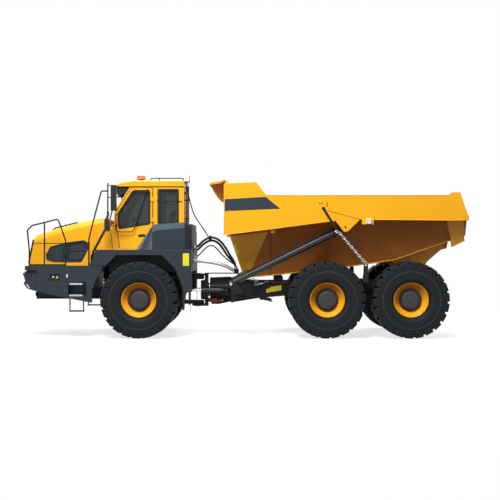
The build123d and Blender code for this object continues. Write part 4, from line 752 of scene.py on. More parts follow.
# %% Visor, wiper and roof trim
cheek = [(-3.018, 3.462), (-2.655, 3.462), (-2.735, 3.345), (-2.925, 3.235), (-2.965, 3.300)]
plate_pair("visor_cheek", cheek, 0.700, 0.785, abs_black, "front_chassis", bevel=0.006)
visor = strip([(-3.005, 3.462), (-2.950, 3.285), (-2.915, 3.245)], 0.014)
plate("sun_visor", visor, -0.70, 0.70, side_place, abs_black, "front_chassis", bevel=0.003)
roof_edge = [(-3.048, 3.468), (-3.048, 3.480), (-1.412, 3.480), (-1.412, 3.468)]
plate_pair("roof_drip_edge", roof_edge, 0.800, 0.8145, seal_rubber, "front_chassis")
bent_rod("wiper_arm", [(-3.034, 0.02, 2.56), (-3.052, 0.02, 2.585), (-3.050, 0.10, 2.72), (-3.046, 0.22, 2.86)],
         0.007, abs_black, "front_chassis")
blade = strip([(0.235, 2.60), (0.222, 2.86), (0.210, 2.895)], 0.018)
plate("wiper_blade", blade, -3.050, -3.034, front_place, seal_rubber, "front_chassis", bevel=0.002)
print("roof dressed")

# %% [markdown]
# ## Mirrors
# Each tall mirror is glass in a black housing. The glass is a thin silvered plate on the housing's rear face, and
# the lower, wide-angle mirror has one too. The material is a smooth metal, because a mirror is silver behind
# glass.

# %% Mirror glass
silvered_glass = bare_metal("silvered_mirror_glass", "#C4CACC", "#BCC2C4", 0.06, 4.0)
for side, sign in sides:
    low, high = span(sign, 1.307, 1.365)
    pane = rounded(box(low, high, 2.905, 3.452), 0.012)
    plate(f"mirror_glass_{side}", pane, -2.894, -2.889, front_place, silvered_glass, "front_chassis")
    low, high = span(sign, 1.126, 1.164)
    pane = rounded(box(low, high, 2.455, 2.685), 0.010)
    plate(f"wide_mirror_glass_{side}", pane, -3.069, -3.064, front_place, silvered_glass, "front_chassis")
print("mirror panes", 2 * len(sides))

# %% [markdown]
# ## Hood air intakes
# The black intake panel on each side is one deep moulding: a raised lip all round, a smooth bulge in front and an
# opening behind it with two wide blades. Thin bevelled plates at different depths give it that relief.

# %% Intake mouldings
vent_outline = [(-4.515, 2.079), (-4.158, 2.176), (-3.733, 2.232), (-3.619, 2.160), (-3.619, 2.046),
                (-3.780, 1.715), (-4.417, 1.715), (-4.612, 1.770), (-4.612, 1.900)]
vent_lip = rounded(vent_outline, 0.05)
for side, sign in sides:
    low, high = span(sign, 0.786, 0.808)
    framed(f"intake_lip_{side}", vent_lip, 0.034, low, high, side_place, intake_abs, "hood", bevel=0.006)
intake_plates = [
    # (name, outline, distance of its face, material)
    ("intake_bulge", [(-4.560, 1.815), (-4.552, 1.905), (-4.480, 2.045), (-4.210, 2.115), (-4.225, 1.765),
                      (-4.400, 1.752)], 0.799, intake_abs),
    # The mouth is a near-black plate: painted shade in the deep opening behind the blades.
    ("intake_mouth", [(-4.170, 1.745), (-4.120, 2.135), (-3.745, 2.195), (-3.655, 2.135), (-3.655, 2.050),
                      (-3.800, 1.745)], 0.7915, seal_rubber),
    ("intake_blade_high", [(-4.070, 1.960), (-4.030, 2.078), (-3.735, 2.150), (-3.680, 2.105), (-3.705, 1.985)],
     0.798, grey_enamel),
    ("intake_blade_low", [(-4.100, 1.772), (-4.080, 1.930), (-3.715, 1.948), (-3.745, 1.880), (-3.815, 1.772)],
     0.796, intake_abs),
]
for name, outline, reach, material in intake_plates:
    plate_pair(name, rounded(outline, 0.035), 0.785, reach, material, "hood", bevel=0.005)
print("intake plates", 2 * (len(intake_plates) + 1))

# %% [markdown]
# ## Bumper, lamps and steps
# The bumper's corner has a small grid of air holes and a slanted headlamp below it, with a lens on the side too.
# The side lamps sit in a dark recess. The steps' treads are galvanised.

# %% Bumper corner and headlamps
# The air holes here and the slots on the front are thin black plates on the bumper: painted shade inside them.
hole_pitch, hole_radius = 0.036, 0.012
holes = []
for column in range(4):
    for row in range(4):
        x, z = -4.962 + hole_pitch * column, 1.438 - hole_pitch * row
        holes.append([(x + hole_radius * math.cos(a), z + hole_radius * math.sin(a)) for a in turns(10)])
for side, sign in sides:
    low, high = span(sign, 1.199, 1.2012)
    grid = joined([prism(hole, low, high, side_place) for hole in holes])
    finish_piece(f"bumper_air_holes_{side}", mesh_of(*grid), seal_rubber, "front_chassis")
slot_count, slot_pitch = 11, 0.16
front_slots = []
for number in range(slot_count):
    y = -0.80 + slot_pitch * number
    front_slots.append(prism(rounded(box(y - 0.06, y + 0.06, 1.345, 1.375), 0.014), -5.0345, -5.024, front_place))
finish_piece("bumper_front_slots", mesh_of(*joined(front_slots)), seal_rubber, "front_chassis")


slope_back, slope_down = 0.613, 0.790  # how far the bumper's lower face goes back and down for each metre along it


def lamp_place(u, v, w):
    """A point on the bumper's slanted lower face: u across, v down the slope, w out of it."""
    return (-5.042 + slope_back * v - slope_down * w, u, 1.251 - slope_down * v - slope_back * w)


for side, sign in sides:
    low, high = span(sign, 0.82, 1.176)
    frame_outline = rounded(box(low, high, 0.012, 0.165), 0.03)
    lens_outline = rounded(box(low + 0.014, high - 0.014, 0.026, 0.151), 0.025)
    plate(f"headlamp_frame_{side}", frame_outline, -0.01, 0.008, lamp_place, abs_black, "front_chassis",
          bevel=0.004)
    plate(f"headlamp_lens_{side}", lens_outline, 0.0, 0.014, lamp_place, lens_clear, "front_chassis", bevel=0.006)
side_lens = rounded([(-4.980, 1.215), (-4.955, 1.235), (-4.885, 1.150), (-4.915, 1.125)], 0.008)
plate_pair("headlamp_side_lens", side_lens, 1.199, 1.2020, lens_clear, "front_chassis")
print("bumper holes", 2 * len(holes) + len(front_slots))

# %% Side lamps, reflectors and treads
bezel = [(-0.004, 0.038), (0.010, 0.036), (0.012, 0.030), (0.005, 0.028), (0.005, near_axis), (-0.004, near_axis)]
lamp_lens = [(0.003, 0.027), (0.008, 0.025), (0.012, 0.016), (0.0135, near_axis), (0.0, near_axis)]
hole_disc = [(-0.001, 0.022), (0.0015, 0.020), (0.0015, near_axis), (-0.001, near_axis)]
recess_floor, skirt_face = 1.221, 1.2495
for side, sign in sides:
    for number, (x, z) in enumerate(((-4.352, 1.383), (-4.262, 1.371))):
        at = (x, sign * recess_floor, z)
        spun(f"side_lamp_bezel_{side}_{number}", bezel, at, (0, sign, 0), 32, abs_black, "front_chassis", smooth=True)
        spun(f"side_lamp_lens_{side}_{number}", lamp_lens, at, (0, sign, 0), 32,
             sticker_yellow if number else lens_clear, "front_chassis", smooth=True)
    low, high = span(sign, skirt_face, skirt_face + 0.002)
    plate(f"side_reflector_{side}", rounded(box(-4.045, -4.015, 1.375, 1.455), 0.01), low, high, side_place,
          reflector_white, "front_chassis")
    # A thin black disc on the skirt: painted shade for a small hole in it.
    spun(f"skirt_hole_shade_disc_{side}", hole_disc, (-3.812, sign * 1.25, 1.432), (0, sign, 0), 24, seal_rubber, "front_chassis")
    for number, z in enumerate((0.944, 1.207)):
        low, high = span(sign, 1.090, 1.2425)
        tread = rounded(box(-3.985, -3.685, z, z + 0.040), 0.010)
        plate(f"step_tread_{side}_{number}", tread, low, high, side_place, zinc_steel, "front_chassis", bevel=0.004)
    low, high = span(sign, 0.8095, 0.8125)
    plate(f"hood_foot_strip_{side}", box(-4.160, -3.602, 1.6385, 1.672), low, high, side_place, yellow_enamel,
          "front_chassis")
    low, high = span(sign, 0.87, 1.15)
    sheet = rounded(box(-4.84, -3.66, low, high), 0.03)
    plate(f"deck_grip_sheet_{side}", sheet, 1.636, 1.640, plan_place, grip_sheet, "front_chassis")
print("lamps, reflectors and treads placed")

# %% [markdown]
# ## Tank housings, fenders and their bands
# Dark enamel covers the housings behind the doors. A lighter blue-grey band runs up the housing's round front and
# along its top edge: it is painted highlight, where these faces turn up towards the sky. On the round front the
# band is a thin curved plate that follows the cone, and on the flat side it is a flat one, because the colour
# changes along a crisp line.

# %% Light bands
cone_x, cone_y = -2.112, 0.814
cone_rows = [(2.012, 0.382), (2.15, 0.293), (2.30, 0.197), (2.44, 0.107)]  # (height, radius)
columns = 9
spans = len(cone_rows) - 1
outer = len(cone_rows) * columns  # the outer skin's points follow the inner skin's
for side, sign in sides:
    verts = []
    for shell in (0.0005, 0.004):
        for z, radius in cone_rows:
            for step in range(columns):
                angle = math.radians(-2 + 5.6 * step)
                reach = radius + shell
                verts.append((cone_x - reach * math.cos(angle), sign * (cone_y + reach * math.sin(angle)), z))
    faces = []  # the two skins, then the edges at the foot and the top, then the two upright edges
    for row in range(spans):
        for step in range(columns - 1):
            a = row * columns + step
            b = a + columns
            faces += [(a, a + 1, b + 1, b), (outer + a, outer + b, outer + b + 1, outer + a + 1)]
    for step in range(columns - 1):
        top = spans * columns + step
        faces += [(step, outer + step, outer + step + 1, step + 1), (top, top + 1, outer + top + 1, outer + top)]
    for row in range(spans):
        a, b = row * columns, (row + 1) * columns
        c, d = a + columns - 1, b + columns - 1
        faces += [(a, b, outer + b, outer + a), (c, outer + c, outer + d, d)]
    finish_piece(f"cone_band_{side}", mesh_of(verts, faces), band_painted_highlight_enamel, "front_chassis")
top_band = [(-2.108, 2.400), (-2.020, 2.444), (-1.375, 2.504), (-1.370, 2.560), (-1.374, 2.628), (-2.058, 2.584),
            (-2.108, 2.566)]
plate_pair("housing_band", top_band, 1.146, 1.153, band_painted_highlight_enamel, "front_chassis", bevel=0.002)
print("bands placed")

# %% [markdown]
# ## Wheel arches
# The arch over the front wheel is lined with black sheet, which hides the cab's floor from the side. A rolled edge
# follows the arch and stiffens the fender. A ground strap hangs at its rear end.

# %% Arch liners and edges
liner = [(-3.150, 1.640), (-2.925, 1.882), (-1.900, 1.882), (-1.610, 1.592), (-1.610, 1.500), (-3.150, 1.500)]
arch_edge = [(-3.245, 1.560), (-3.152, 1.655), (-2.908, 1.892), (-1.893, 1.892), (-1.590, 1.590), (-1.471, 1.326),
             (-1.408, 1.112), (-1.408, 1.045)]
plate_pair("arch_liner", liner, 0.8015, 0.812, abs_black, "front_chassis")
plate_pair("arch_edge", strip(arch_edge, 0.026), 1.200, 1.2555, rail_enamel, "front_chassis", bevel=0.008)
for side, sign in sides:
    bent_rod(f"ground_strap_{side}", [(-1.224, sign * 1.20, 1.06), (-1.228, sign * 1.20, 0.90),
                                      (-1.226, sign * 1.20, 0.54)], 0.006, seal_rubber, "front_chassis")
print("arches dressed")

# %% [markdown]
# ## Blank plates
# The machine carries plates and stickers that are left blank here: a dark badge on the body's side, and yellow
# ones at the fender and the frame. Each is a film two millimetres thick with rounded corners, on the panel that
# carries it.

# %% Badge and stickers
panel_face = 1.4195  # the dump body's side panel
badge = rounded([(-0.446, 3.143), (0.479, 3.197), (0.803, 2.929), (-0.446, 2.875)], 0.012)
plate_pair("badge_plate", badge, panel_face, panel_face + 0.002, badge_vinyl, "dump_body")
rail_face = 0.4495  # the rear frame's side rail
flat_stickers = [
    # (name, outline, distance of the panel that carries it, body)
    ("fender_sticker", box(-1.402, -1.262, 1.640, 1.925), skirt_face, "front_chassis"),
    ("frame_sticker", [(0.505, 0.990), (0.505, 1.078), (0.600, 1.098), (0.600, 1.128), (0.862, 1.170),
                       (0.862, 1.048)], rail_face, "rear_chassis"),
]
for name, outline, face, body in flat_stickers:
    plate(name, rounded(outline, 0.012), -face - 0.002, -face, side_place, sticker_yellow, body)
frame_backing = rounded([(0.490, 0.975), (0.490, 1.100), (0.590, 1.125), (0.880, 1.190), (0.880, 1.030)], 0.01)
plate("frame_sticker_backing", frame_backing, -rail_face - 0.0015, -rail_face, side_place, seal_rubber,
      "rear_chassis")
print("plates placed")

# %% [markdown]
# ## Dump body details
# The body's side is one pressed plate with a folded lower edge and a ridge that slants across it. The hull below
# it flares outward: its front corner is one flat facet with a blank sticker, its rear end has an upright post, a
# rib follows its crease and a round bar stiffens its lower edge. A stop block sits where the facet meets the side.
# The chain's sleeve hangs from an eye with four small bolts above it, and a pale plastic cap covers the roller
# that the chain runs over, on its block.

# %% Hull edges and side panel marks
# A height, the half width there, and how far the face goes outward for each metre up.
hull_foot, hull_foot_half, hull_flare = 1.330, 0.600, 0.40
post_top, post_top_half, post_flare = 2.688, 1.163, 0.26


def hull_half(z):
    """Half width of the flared hull at that height."""
    return hull_foot_half + (z - hull_foot) * hull_flare


def on_hull(sign):
    """Places an outline on the sloped hull of that side, where w goes out from its face."""
    return lambda u, v, w: Vector((u, sign * (hull_half(v) + w), v))


def tail_post(sign):
    """Places the post at the tail: w is 0 on the hull, and 1 on its outer face, which is steeper than the hull."""
    def place(u, v, w):
        inner = hull_half(v) - 0.004
        outer = post_top_half - (post_top - v) * post_flare
        return Vector((u, sign * ((1 - w) * inner + w * outer), v))

    return place


facet = [(-0.343, 2.319), (0.534, 2.425), (0.146, 1.546), (-0.077, 1.535)]
facet_sticker = [(-0.262, 2.112), (-0.200, 2.118), (-0.196, 2.030), (-0.130, 1.990), (-0.135, 1.900),
                 (-0.186, 1.890)]
tail_plate = [(4.603, 2.688), (4.985, 2.688), (5.035, 2.420), (5.010, 2.395), (5.050, 2.210), (4.778, 2.070)]
crease = [(2.890, 2.640), (3.495, 1.835)]
for side, sign in sides:
    # The facet takes a paler yellow: painted light on a face that lies in shade.
    plate(f"front_facet_{side}", facet, -0.002, 0.005, on_hull(sign), facet_painted_light_enamel, "dump_body")
    # The facet's sticker takes the paler vinyl, painted light.
    plate(f"facet_sticker_{side}", facet_sticker, 0.0045, 0.007, on_hull(sign), sticker_painted_light, "dump_body")
    plate(f"tail_plate_{side}", tail_plate, 0.0, 1.0, tail_post(sign), yellow_enamel, "dump_body", bevel=0.004)
    bent_rod(f"crease_rib_{side}", [(x, sign * (hull_half(z) + 0.002), z) for x, z in crease], 0.014, hull_painted_shade_enamel,
             "dump_body", curved=False)
    bent_rod(f"panel_ridge_{side}", [(1.850, sign * 1.420, 2.911), (2.650, sign * 1.420, 2.690)], 0.012,
             yellow_enamel, "dump_body", curved=False)
plate_pair("chain_block", rounded(box(2.643, 2.906, 2.575, 2.697), 0.010), 1.380, 1.440, yellow_enamel, "dump_body",
           bevel=0.005)
floor_line = [(0.030, 1.356), (0.403, 1.385), (0.834, 1.424), (2.405, 1.608), (3.496, 1.767), (4.778, 2.231),
              (5.030, 2.322)]
panel_edge = [(-0.462, 2.341), (0.832, 2.505), (2.030, 2.660)]
panel_edge_rear = [(2.610, 2.686), (4.575, 2.670), (4.964, 2.670)]
cap_face = 1.483  # the outer face of the roller's cap
for side, sign in sides:
    bent_rod(f"hull_edge_{side}", [(x, sign * (hull_half(z) + 0.004), z + 0.006) for x, z in floor_line], 0.013,
             yellow_enamel, "dump_body", curved=False)
    bent_rod(f"facet_fold_{side}", [(0.532, sign * 1.040, 2.423), (0.148, sign * 0.690, 1.548)], 0.007,
             facet_painted_light_enamel, "dump_body", curved=False)
    for number, path in enumerate((panel_edge, panel_edge_rear)):
        low, high = span(sign, 1.395, 1.4235)
        plate(f"panel_fold_{side}_{number}", strip(path, 0.016), low, high, side_place, yellow_enamel, "dump_body",
              bevel=0.004)
    low, high = span(sign, 1.010, 1.360)
    plate(f"stop_block_{side}", rounded(box(0.585, 0.690, 2.385, 2.480), 0.008), low, high, side_place,
          yellow_enamel, "dump_body", bevel=0.006)
    bent_rod(f"hull_cable_{side}", [(0.600, sign * (hull_half(z) + 0.008), z) for z in (2.39, 2.10, 1.75, 1.42)],
             0.006, hose_cover, "dump_body", curved=False)
    marks = [(x, sign * panel_face, z) for x, z in ((1.690, 3.050), (1.745, 3.050), (1.860, 3.055), (1.860, 3.000))]
    bolts(f"chain_eye_bolts_{side}", marks, (0, sign, 0), 0.012, 0.010, seal_rubber, "dump_body")
    low, high = span(sign, 1.436, cap_face)
    cap = rounded(box(2.732, 2.852, 2.585, 2.705), 0.022)
    plate(f"roller_cap_{side}", cap, low, high, side_place, reflector_white, "dump_body", bevel=0.006)
    bolts(f"roller_cap_bolts_{side}", [(x, sign * cap_face, z) for x in (2.760, 2.824) for z in (2.613, 2.677)],
          (0, sign, 0), 0.009, 0.007, zinc_steel, "dump_body")
    spun(f"chain_eye_washer_{side}", stud(0.040, 0.008, 0.012, 0.034), (1.779, sign * 1.420, 2.935), (0, sign, 0), 32,
         seal_rubber, "dump_body")
    # A thin black disc on the side panel: painted shade for a hole in the gusset.
    disc = [(0.0, 0.024), (0.0015, 0.023), (0.0015, near_axis), (0.0, near_axis)]
    spun(f"gusset_hole_{side}", disc, (2.272, sign * 1.4202, 2.512), (0, sign, 0), 28, seal_rubber, "dump_body")
print("hull dressed")

# %% Spill guard lip and top rails
lip = strip([(-0.826, 0.0), (-0.826, 0.40), (-0.558, 0.95), (-0.482, 1.36)], 0.016)
for side, sign in sides:
    outline = [(u, sign * v) for u, v in lip]
    plate(f"guard_lip_{side}", outline, 3.535, 3.5855, plan_place, yellow_enamel, "dump_body", bevel=0.003)
    top_rail = strip([(0.492, sign * 1.39), (4.575, sign * 1.39)], 0.070)
    plate(f"top_rail_{side}", top_rail, 3.226, 3.238, plan_place, yellow_enamel, "dump_body", bevel=0.004)
print("guard and rails")

# %% [markdown]
# ## Tipping cylinders and stowed chain
# Each tipping cylinder has a gland ring, an oil pipe that runs along it in clips, and a bright pin head at its
# foot. The chain ends in a galvanised shackle on the frame's bracket.

# %% Cylinder fittings
foot = Vector((tip_foot_x, 0, tip_foot_z))
head = Vector((tip_head_x, 0, tip_head_z))
along = (head - foot).normalized()
above = Vector((-along.z, 0, along.x))
tip_cylinder_y, chain_y = 1.185, 1.398
pipe_stations = [(0.16, 0.070), (0.22, 0.086), (0.30, 0.088), (1.30, 0.088), (2.40, 0.088), (2.50, 0.086),
                 (2.56, 0.070)]  # (along the barrel, above its axis)
shackle_path = [(2.712, 1.690), (2.708, 1.716), (2.716, 1.738), (2.730, 1.745), (2.744, 1.738), (2.752, 1.716),
                (2.748, 1.690)]
for side, sign in sides:
    middle = Vector((0, sign * tip_cylinder_y, 0))
    ring = [(-0.045, 0.0725), (-0.045, 0.082), (0.0, 0.082), (0.006, 0.076), (0.006, 0.056), (-0.002, 0.056)]
    spun(f"tip_gland_{side}", ring, foot + along * 2.640 + middle, along, 48, chassis_enamel, f"tip_barrel_{side}")
    pipe = [foot + along * d + above * h + middle + Vector((0, sign * 0.022, 0)) for d, h in pipe_stations]
    bent_rod(f"tip_pipe_{side}", pipe, 0.011, rail_enamel, f"tip_barrel_{side}")
    for number, distance in enumerate((0.55, 1.25, 1.95)):
        spun(f"tip_pipe_clip_{side}_{number}", sleeve(0.014, 0.0722, 0.0775), foot + along * distance + middle, along,
             40, rail_enamel, f"tip_barrel_{side}")
    pin = [(0.0, 0.034), (0.007, 0.032), (0.009, 0.026), (0.005, 0.020), (0.005, near_axis), (0.0, near_axis)]
    spun(f"tip_pin_head_{side}", pin, (tip_foot_x, sign * 1.2905, tip_foot_z), (0, sign, 0), 32, zinc_steel,
         "rear_chassis")
    bent_rod(f"chain_shackle_{side}", [(x, sign * chain_y, z) for x, z in shackle_path], 0.009, zinc_steel,
             "rear_chassis")
    bolts(f"shackle_pin_{side}", [(2.730, sign * 1.430, 1.655)], (0, sign, 0), 0.018, 0.014, zinc_steel,
          "rear_chassis")
print("cylinders dressed")

# %% [markdown]
# ## Hoses over the steering joint
# Oil and air hoses leave the cab's rear wall, rise over the steering joint and drop to the block on the hitch.
# They are rubber with a wire layer, so they keep wide curves. Each is one smooth spline through the route's
# points.

# %% Hoses
hose_routes = [
    # (radius, y, length, points from the bulkhead to the block)
    (0.027, -0.060, 1.515, [(-1.2177, 2.060), (-1.150, 2.060), (-1.010, 2.220), (-0.830, 2.316), (-0.640, 2.270),
                            (-0.480, 2.090), (-0.345, 1.850), (-0.225, 1.680), (-0.225, 1.5453)]),
    (0.027, 0.010, 1.450, [(-1.2177, 1.985), (-1.150, 1.985), (-1.010, 2.140), (-0.830, 2.245), (-0.655, 2.195),
                           (-0.520, 2.020), (-0.390, 1.810), (-0.215, 1.650), (-0.215, 1.5453)]),
    (0.015, 0.075, 1.376, [(-1.2177, 1.830), (-1.150, 1.830), (-0.990, 2.010), (-0.880, 2.106), (-0.745, 2.110),
                           (-0.574, 1.905), (-0.402, 1.745), (-0.205, 1.620), (-0.205, 1.5453)]),
]
joint_start, joint_end = (-1.20, 0, 2.0), (-0.24, 0, 1.6)


def shape_now(obj):
    """The mesh that an object has now, a copy with its thickness and modifiers applied."""
    return bpy.data.meshes.new_from_object(obj.evaluated_get(bpy.context.evaluated_depsgraph_get()))


def flexible_hose(name, radius, points, length, material):
    """A hose along one smooth spline, between the cab's unit and the hitch."""
    spline = bent_rod(f"{name}_route", points, 0.0, material, None)
    spline.data.use_fill_caps = False
    spline.data.splines[0].resolution_u = 14
    line = [tuple(v.co) for v in shape_now(spline).vertices]
    spline.data.bevel_depth = radius
    spline.data.bevel_resolution = 5
    tube = shape_now(spline)
    bpy.data.objects.remove(spline)
    hose = finish_piece(name, tube, material, None)
    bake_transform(hose)
    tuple(joint_start)
    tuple(joint_end)
    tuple(points[0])
    return hose


for number, (radius, y, length, points) in enumerate(hose_routes):
    flexible_hose(f"joint_hose_{number}", radius, [(x, y, z) for x, z in points], length, hose_cover)
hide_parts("hoses")

# %% Sleeved pipe, vertical cable and their clamp
sleeve_points = [(-1.2177, -0.125, 1.745), (-1.150, -0.125, 1.742), (-0.950, -0.125, 1.728), (-0.700, -0.125, 1.688),
                 (-0.480, -0.120, 1.630), (-0.350, -0.115, 1.560), (-0.262, -0.115, 1.505)]
flexible_hose("sleeved_hose", 0.040, sleeve_points, 0.995, zinc_steel)
cable_points = [(-1.400, -0.640, 3.566), (-1.368, -0.640, 3.556), (-1.338, -0.640, 3.420), (-1.300, -0.600, 3.200),
                (-1.255, -0.500, 3.020), (-1.225, -0.360, 2.880), (-1.120, -0.200, 2.690), (-1.000, -0.110, 2.520),
                (-0.905, -0.050, 2.360), (-0.880, -0.020, 2.318)]
flexible_hose("cab_cable", 0.013, cable_points, 1.55, hose_cover)
clamp_parts = []
for y, z in ((-0.060, 2.300), (0.010, 2.232)):
    clamp_parts.append(turned(sleeve(0.030, 0.0285, 0.034), (-0.835, y, z), (1, 0, 0.22), 28))
clamp_parts.append(prism(rounded([(-0.865, 2.215), (-0.800, 2.225), (-0.800, 2.350), (-0.865, 2.340)], 0.012),
                         -0.032, -0.018, side_place))
clamp = finish_piece("hose_clamp", mesh_of(*joined(clamp_parts)), chassis_enamel, None)
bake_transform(clamp)
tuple(joint_start)
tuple(joint_end)
bulkhead_x, block_top = -1.214, 1.545
wall_ends = [(-0.060, 2.060, 0.036), (0.010, 1.985, 0.036), (0.075, 1.830, 0.024), (-0.125, 1.745, 0.052)]
collars = [turned(coupling(-0.004, radius, 0.046), (bulkhead_x, y, z), (1, 0, 0), 24) for y, z, radius in wall_ends]
finish_piece("wall_couplings", mesh_of(*joined(collars)), zinc_steel, "front_chassis")
block_ends = [(-0.225, -0.060, 0.036), (-0.215, 0.010, 0.036), (-0.205, 0.075, 0.024)]
collars = [turned(coupling(0.0005, radius, 0.056), (x, y, block_top), (0, 0, 1), 24) for x, y, radius in block_ends]
finish_piece("block_couplings", mesh_of(*joined(collars)), zinc_steel, "hitch")
print("couplings placed")

# %% [markdown]
# ## Steering joint and frames
# The hitch shows its working side: bolt circles over and under the kingpins, a cheek plate between its forks, webs
# on the housing that its tube turns in, and bright pin heads at the cylinders' eyes. A red accumulator hangs under
# the tube, and a cluster of valves and pipes sits on the frame beside the tipping cylinder's foot.

# %% Hitch bolts and pins
kingpin_x, kingpin_bolt_circle = -1.130, 0.095
steer_axis_y, steer_axis_z = 0.330, 1.050
steer_pins = [
    # (name, x, how far its lug's top is over the cylinder's axis, body)
    ("front", -1.460, 0.1155, "front_chassis"),
    ("rear", -0.430, 0.1165, "hitch"),
]
for end, z, direction in (("top", 1.433, 1), ("foot", 0.6625, -1)):
    circle = [(kingpin_x + kingpin_bolt_circle * math.cos(a), kingpin_bolt_circle * math.sin(a), z) for a in turns(8)]
    bolts(f"kingpin_bolts_{end}", circle, (0, 0, direction), 0.012, 0.012, zinc_steel, "hitch")
    spun(f"kingpin_cover_{end}", stud(0.062, 0.008, 0.014, 0.054), (kingpin_x, 0, z), (0, 0, direction), 40,
         engine_enamel, "hitch")
seal_ring = [(-0.852, 0.1715), (-0.852, 0.1745), (-0.838, 0.1745), (-0.838, 0.1715)]
spun("housing_seal_ring", seal_ring, (0, 0, steer_axis_z), (1, 0, 0), 64, zinc_steel, "rear_chassis")
for side, sign in sides:
    for name, x, rise, body in steer_pins:
        spun(f"steer_pin_head_{name}_{side}", stud(0.030, 0.008, 0.012, 0.024),
             (x, sign * steer_axis_y, steer_axis_z + rise), (0, 0, 1), 24, zinc_steel, body)
    ring = [(-0.030, 0.0505), (-0.030, 0.058), (0.0, 0.058), (0.004, 0.053), (0.004, 0.034), (-0.001, 0.034)]
    spun(f"steer_gland_{side}", ring, (-1.030, sign * steer_axis_y, steer_axis_z), (-1, 0, 0), 40, chassis_enamel,
         f"steer_barrel_{side}")
cheek = rounded([(-1.060, 0.820), (-0.900, 0.800), (-0.900, 1.290), (-1.060, 1.270)], 0.020)
plate("hitch_cheek", cheek, -0.050, 0.050, side_place, chassis_enamel, "hitch", bevel=0.006)
webs = [[(-0.840, 1.200), (-0.330, 1.200), (-0.330, 1.360), (-0.840, 1.340)],
        [(-0.840, 0.905), (-0.330, 0.905), (-0.330, 0.765), (-0.620, 0.700), (-0.800, 0.700)]]
web_parts = [prism(rounded(web, 0.015), -0.030, 0.030, side_place) for web in webs]
finish_piece("housing_webs", mesh_of(*joined(web_parts)), chassis_enamel, "rear_chassis", bevel=0.004)
print("joint dressed")

# %% Accumulator, red bar and bracket
tank_x, tank_y, tank_z = -0.876, -0.160, 0.808
tank = [(0.0, near_axis), (0.0, 0.032), (0.010, 0.046), (0.030, 0.052), (0.300, 0.052), (0.320, 0.046),
        (0.330, 0.032), (0.330, near_axis)]
spun("red_accumulator", tank, (tank_x, tank_y, tank_z), (1, 0, 0), 40, red_enamel, "rear_chassis", smooth=True)
cap = [(0.324, near_axis), (0.324, 0.030), (0.338, 0.030), (0.344, 0.018), (0.360, 0.018), (0.360, near_axis)]
spun("accumulator_cap", cap, (tank_x, tank_y, tank_z), (1, 0, 0), 24, zinc_steel, "rear_chassis")
straps = []
for x in (-0.800, -0.650):
    straps.append(turned(sleeve(0.012, 0.0522, 0.056), (x, tank_y, tank_z), (1, 0, 0), 32))
    straps.append(prism(box(tank_y - 0.010, tank_y + 0.010, 0.858, 0.994), x - 0.012, x + 0.012, front_place))
finish_piece("accumulator_straps", mesh_of(*joined(straps)), chassis_enamel, "rear_chassis")
plate_pair("red_rail_strip", rounded(box(0.594, 1.123, 1.222, 1.262), 0.008), 0.449, 0.456, red_enamel,
           "rear_chassis", bevel=0.002)
bracket = [(0.345, 0.880), (0.450, 0.892), (0.520, 0.840), (0.600, 0.826), (0.665, 0.794), (0.640, 0.775),
           (0.520, 0.806), (0.440, 0.820), (0.355, 0.826)]
plate_pair("frame_bracket", bracket, 0.360, 0.440, chassis_enamel, "rear_chassis", bevel=0.004)
rail_bolts = []
for sign in (-1, 1):
    rail_bolts += [bolt_heads([(x, sign * 0.450, z)], (0, sign, 0), 0.013, 0.012)
                   for x in (-0.02, 0.10, 0.22) for z in (0.90, 1.16)]
finish_piece("rail_bolts", mesh_of(*joined(rail_bolts)), chassis_enamel, "rear_chassis")
print("frame dressed")

# %% Valve cluster beside the cylinder's foot
valve_block = rounded(box(0.210, 0.330, 1.150, 1.255), 0.012)
plate("valve_block", valve_block, -0.530, -0.450, side_place, engine_enamel, "rear_chassis", bevel=0.006)
port = [(0.0, 0.016), (0.020, 0.016), (0.024, 0.011), (0.060, 0.011), (0.060, near_axis), (0.0, near_axis)]
spools = []
for x in (0.235, 0.270, 0.305):
    spools.append(turned(stud(0.014, 0.050, 0.054, 0.010), (x, -0.490, 1.254), (0, 0, 1), 16))
    spools.append(turned(port, (x, -0.529, 1.185), (0, -1, 0), 16))
spools.append(turned(stud(0.020, 0.070, 0.076, 0.014), (0.330, -0.490, 1.210), (1, 0, 0), 16))
finish_piece("valve_fittings", mesh_of(*joined(spools)), zinc_steel, "rear_chassis")
valve_pipes = [
    [(0.400, -0.490, 1.210), (0.450, -0.490, 1.215), (0.480, -0.480, 1.260), (0.520, -0.470, 1.262),
     (0.560, -0.452, 1.240)],
    [(0.235, -0.585, 1.185), (0.235, -0.640, 1.185), (0.150, -0.680, 1.200), (0.020, -0.700, 1.180),
     (-0.050, -0.700, 1.120)],
    [(0.270, -0.585, 1.185), (0.275, -0.620, 1.180), (0.360, -0.600, 1.130), (0.460, -0.520, 1.100),
     (0.470, -0.455, 1.090)],
    [(0.235, -0.490, 1.305), (0.230, -0.490, 1.325), (0.160, -0.480, 1.320), (0.060, -0.460, 1.300),
     (-0.020, -0.440, 1.275)],
]
for number, points in enumerate(valve_pipes):
    bent_rod(f"valve_pipe_{number}", points, 0.009, zinc_steel if number == 0 else hose_cover, "rear_chassis")
print("valves placed")

# %% [markdown]
# ## Tail lamps, exhaust mouth and engine bay
# The tail lamps stand on the end of the rear frame. The exhaust stack gets a rolled rim and two clamps, and a short
# antenna stands beside it. Radiator fins show behind the front grille.

